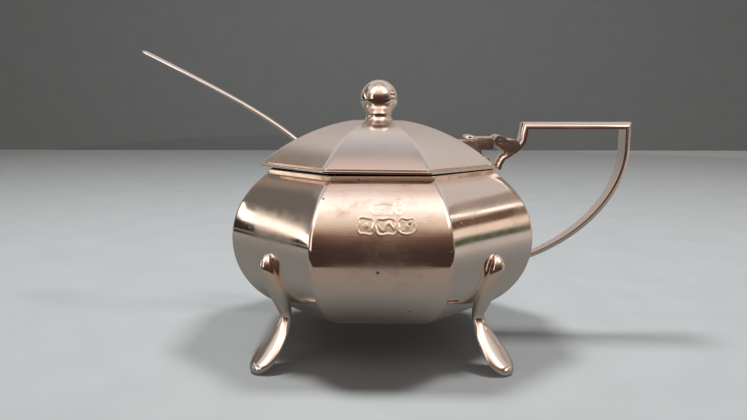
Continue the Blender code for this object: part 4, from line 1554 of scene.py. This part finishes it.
@dataclass
class Studio:
    """Floor, backdrop, light and camera.

    Attributes:
        eye: where the camera stands.
        pitch_deg: how far it looks down.
        yaw_deg: how far it looks to the left.
        lens_mm: focal length on a sensor 36 mm wide.
        wall_y: where the floor ends and the backdrop starts.
        table_edge_y: the near edge of the glowing sheet that paints the table's reflection in the silver.
        floor_colour: the floor, as the viewer sees it.
        wall_colour: the backdrop behind it.
    """

    eye: tuple[float, float, float] = (4.69 * MM, -141.2 * MM, 50.0 * MM)
    pitch_deg: float = 9.05
    yaw_deg: float = 1.0
    lens_mm: float = 31.69
    wall_y: float = 0.60
    table_edge_y: float = -0.082
    floor_colour: Colour = (0.46, 0.50, 0.53)
    wall_colour: Colour = (0.20, 0.215, 0.225)

    # Light on the viewer's side and on the far side, by degrees above the table.
    FRONT = [(-90.0, (0.045, 0.026, 0.02)), (2.0, (0.05, 0.028, 0.021)), (12.0, (0.10, 0.055, 0.04)),
             (20.0, (0.17, 0.09, 0.065)), (28.0, (0.50, 0.34, 0.24)), (33.0, (0.72, 0.56, 0.42)),
             (46.0, (1.00, 0.82, 0.69)), (58.0, (1.40, 1.26, 1.15)), (72.0, (1.15, 1.02, 0.94)),
             (84.0, (0.72, 0.56, 0.50))]
    REAR = [(-90.0, (0.20, 0.19, 0.18)), (0.0, (0.24, 0.22, 0.20)), (15.0, (0.44, 0.38, 0.35)),
            (28.0, (0.48, 0.42, 0.39)), (36.0, (0.55, 0.49, 0.46)), (46.0, (0.67, 0.62, 0.59)),
            (60.0, (0.54, 0.52, 0.52)), (67.0, (0.44, 0.43, 0.45)), (73.0, (0.40, 0.34, 0.34)),
            (80.0, (0.66, 0.50, 0.46)), (88.0, (0.74, 0.58, 0.52))]
    CARDS = (
        SoftCard((0.26, 0.21, 0.17), -135.0, 36.0, 7.0, 5.0, soft=12.0),
        SoftCard((0.15, 0.13, 0.115), -108.0, 27.0, 14.0, 10.0, soft=8.0),
        SoftCard((0.03, 0.018, 0.015), -104.0, 1.5, 30.0, 5.5, slant=-0.3, soft=1.0),
        SoftCard((2.0, 1.75, 1.45), -98.0, 8.4, 13.0, 3.0, slant=-0.72, soft=1.0),
        SoftCard((0.58, 0.50, 0.46), 118.0, 35.0, 26.0, 6.0, soft=5.0),
        SoftCard((0.34, 0.26, 0.22), 112.0, 28.5, 20.0, 2.2, slant=-0.2, soft=3.0),
        SoftCard((1.5, 1.25, 1.05), 103.0, 24.0, 10.0, 0.9, slant=-0.55, soft=1.4),
        SoftCard((0.15, 0.075, 0.05), 103.0, 16.5, 18.0, 2.8, slant=-0.2, soft=1.8),
        SoftCard((0.85, 0.66, 0.52), 101.0, 8.6, 16.0, 2.8, slant=-0.15, soft=1.6),
        SoftCard((0.08, 0.095, 0.045), 100.0, 0.8, 12.0, 2.4, soft=1.2),
        SoftCard((2.1, 1.9, 1.75), 46.0, 50.0, 12.0, 14.0, soft=9.0),
        SoftCard((2.1, 1.9, 1.75), -46.0, 50.0, 12.0, 14.0, soft=9.0),
        SoftCard((1.2, 1.0, 0.86), -46.0, 16.0, 5.0, 18.0, soft=6.0),
    )
    # Colours of the glowing sheet that paints the table's reflection in the silver; "under" is painted
    # shadow under the pot.
    PAINTED_TABLE_REFLECTION = {"base": (0.20, 0.195, 0.185), "front": (0.27, 0.215, 0.175), "left": (0.29, 0.27, 0.24),
             "far_left": (0.035, 0.02, 0.017), "right": (0.50, 0.43, 0.39), "under": (0.05, 0.045, 0.042)}
    SHADE = (0.045, 0.028, 0.022)
    LAMPS = (("left_box", (-0.14, 0.04, 0.50), 1.8, 0.10), ("right_box", (0.20, 0.02, 0.50), 1.5, 0.10))

    def make(self) -> None:
        """Builds the studio."""
        scene = bpy.context.scene
        scene.view_settings.view_transform = "Standard"
        scene.view_settings.look = "None"
        self._camera(scene)
        self._surroundings(scene)
        self._floor()
        self._key_light(scene)

    def _camera(self, scene: bpy.types.Scene) -> None:
        """A camera at the viewer's place.

        Args:
            scene: the scene that it looks at.
        """
        data = bpy.data.cameras.new("viewer")
        data.lens = self.lens_mm
        data.sensor_width = 36.0
        data.clip_start = 0.005
        camera = bpy.data.objects.new("viewer", data)
        scene.collection.objects.link(camera)
        camera.location = self.eye
        camera.rotation_euler = (math.radians(90.0 - self.pitch_deg), 0.0, math.radians(self.yaw_deg))
        scene.camera = camera

    def _surroundings(self, scene: bpy.types.Scene) -> None:
        """The light from all round, as soft cards on two gradients; the viewer sees a plain grey instead.

        Args:
            scene: the scene that it lights.
        """
        world = bpy.data.worlds.new("studio")
        scene.world = world
        world.use_nodes = True
        graph = Graph(world.node_tree)
        x, y, z = graph.parts(graph.node("ShaderNodeTexCoord", output="Generated"))
        azimuth = graph.maths("ARCTAN2", x, y * -1.0) * math.degrees(1.0)
        elevation = graph.maths("ARCSINE", z) * math.degrees(1.0)
        front = self._gradient(graph, elevation, self.FRONT)
        rear = self._gradient(graph, elevation, self.REAR)
        light = graph.mix(abs(azimuth).ease(48.0, 88.0), front, rear)
        for card in self.CARDS:
            offset = azimuth - card.azimuth
            offset = graph.maths("WRAP", offset, 180.0, -180.0)
            across = abs(offset).ease(card.half_width + card.soft, card.half_width)
            up = elevation - offset * card.slant
            inside = across * up.near(card.elevation, card.half_height, card.soft)
            light = graph.mix(inside, light, card.colour)
        path = graph.node("ShaderNodeLightPath", output="Is Camera Ray")
        light = graph.mix(path, light, self.wall_colour)
        strength = 1.0 - 0.8 * path.out("Is Diffuse Ray")
        background = graph.node("ShaderNodeBackground", inputs={"Color": light, "Strength": strength})
        graph.node("ShaderNodeOutputWorld", inputs={"Surface": background})

    @staticmethod
    def _gradient(graph: Graph, elevation: Wire, stops: list[tuple[float, Colour]]) -> Wire:
        """A colour ramp over elevation."""
        place = (elevation + 90.0) / 180.0
        placed = [((degrees + 90.0) / 180.0, colour) for degrees, colour in stops]
        return graph.node("ShaderNodeValToRGB", {"stops": placed}, {0: place})

    def _floor(self) -> None:
        """Pale floor and backdrop, and two glowing sheets that only the silver mirrors: one paints a warmer
        table's reflection, with painted shadow under the pot, and one paints shade nearer the viewer.
        """
        shown = self._sheet("floor", self._level(2.5, -2.5, self.wall_y, 0.0), self.floor_colour)
        wall = self._sheet("backdrop", [(-2.5, self.wall_y, 0.0), (2.5, self.wall_y, 0.0),
                                        (2.5, self.wall_y, 1.5), (-2.5, self.wall_y, 1.5)], self.wall_colour)
        edge = self.table_edge_y
        lift = 0.02 * MM
        mirrored = self._sheet("painted_table_reflection", self._level(0.8, edge, 0.8, lift))
        shade = self._sheet("mirrored_shade", self._level(0.8, -2.0, edge, lift))
        self._glow(mirrored, self._painted_table_reflection)
        self._glow(shade, lambda graph, x, y: graph.mix(0.0, self.SHADE, self.SHADE))
        wall.visible_glossy = False
        wall.visible_diffuse = False
        wall.visible_shadow = False
        for card in (mirrored, shade):
            card.visible_camera = False
            card.visible_diffuse = False
            card.visible_shadow = False
            card.visible_transmission = False

    @staticmethod
    def _level(half: float, near: float, far: float, z: float) -> list[tuple[float, float, float]]:
        """Corners of a level rectangle."""
        return [(-half, near, z), (half, near, z), (half, far, z), (-half, far, z)]

    @staticmethod
    def _sheet(name: str, corners: list[tuple[float, float, float]],
               colour: Colour | None = None) -> bpy.types.Object:
        """A flat four-cornered sheet, with a faintly mottled matt surface if it has a colour.

        Args:
            name: its name.
            corners: its corners, in order.
            colour: its colour, if it is a matt sheet.

        Returns:
            The sheet, linked to the scene.
        """
        mesh = bpy.data.meshes.new(name)
        mesh.from_pydata(corners, [], [(0, 1, 2, 3)])
        sheet = bpy.data.objects.new(name, mesh)
        bpy.context.scene.collection.objects.link(sheet)
        if colour is None:
            return sheet
        material = bpy.data.materials.new(name + "_matt")
        material.use_nodes = True
        graph = Graph(material.node_tree)
        place = graph.node("ShaderNodeTexCoord", output="Object")
        mottle = graph.node("ShaderNodeTexNoise", inputs={"Vector": place, "Scale": 60.0, "Detail": 5.0})
        darker = tuple(0.95 * part for part in colour)
        tone = graph.mix(mottle.ease(0.3, 0.7), colour, darker)
        shader = graph.node("ShaderNodeBsdfPrincipled", inputs={"Base Color": tone, "Roughness": 0.8})
        graph.node("ShaderNodeOutputMaterial", inputs={"Surface": shader})
        mesh.materials.append(material)
        return sheet

    @staticmethod
    def _glow(sheet: bpy.types.Object, tones: Callable[[Graph, Wire, Wire], Wire]) -> None:
        """Gives a sheet an even glow whose colour depends on the place.

        Args:
            sheet: the sheet.
            tones: makes the colour from the tree and the X and Y places.
        """
        material = bpy.data.materials.new(sheet.name + "_glow")
        material.use_nodes = True
        material.cycles.emission_sampling = "NONE"
        graph = Graph(material.node_tree)
        x, y, _ = graph.parts(graph.node("ShaderNodeTexCoord", output="Object"))
        glow = graph.node("ShaderNodeEmission", inputs={"Color": tones(graph, x, y), "Strength": 1.0})
        graph.node("ShaderNodeOutputMaterial", inputs={"Surface": glow})
        sheet.data.materials.append(material)

    def _painted_table_reflection(self, graph: Graph, x: Wire, y: Wire) -> Wire:
        """The painted reflection of the table: warm in front, pale to the right, with painted shadow under
        the pot.

        Args:
            graph: the glow's tree.
            x: place to the right.
            y: place away from the viewer.

        Returns:
            The colour there.
        """
        table = self.PAINTED_TABLE_REFLECTION
        tone = graph.mix(y.ease(-25.0 * MM, -60.0 * MM), table["base"], table["front"])
        tone = graph.mix(x.ease(-70.0 * MM, -300.0 * MM), tone, table["left"])
        tone = graph.mix(x.ease(-330.0 * MM, -430.0 * MM), tone, table["far_left"])
        tone = graph.mix(x.ease(50.0 * MM, 260.0 * MM), tone, table["right"])
        # Painted shadow: the glow darkens within 42 mm of the sheet's middle, under the pot.
        away = graph.maths("SQRT", x * x + y * y)
        return graph.mix(away.ease(42.0 * MM, 14.0 * MM), tone, table["under"])

    def _key_light(self, scene: bpy.types.Scene) -> None:
        """Two overhead soft boxes that give the pot its shadows; the silver doesn't mirror them.

        Args:
            scene: the scene that they light.
        """
        for name, place, power, size in self.LAMPS:
            data = bpy.data.lights.new(name, "AREA")
            data.energy = power
            data.size = size
            data.color = (1.0, 0.96, 0.92)
            lamp = bpy.data.objects.new(name, data)
            scene.collection.objects.link(lamp)
            lamp.location = place
            lamp.rotation_euler = (-Vector(place)).to_track_quat("-Z", "Y").to_euler()
            lamp.visible_glossy = False


def main() -> None:
    """Builds the pot, the lid, the spoon and the studio."""
    logging.basicConfig(level=logging.INFO, format="%(message)s")
    body = Body()
    body.make()
    Legs().make(body)
    Handle().make(body.axis)
    Lid().make(body.axis)
    Spoon().make(body.axis)
    Studio().make()


if __name__ == "__main__":
    main()
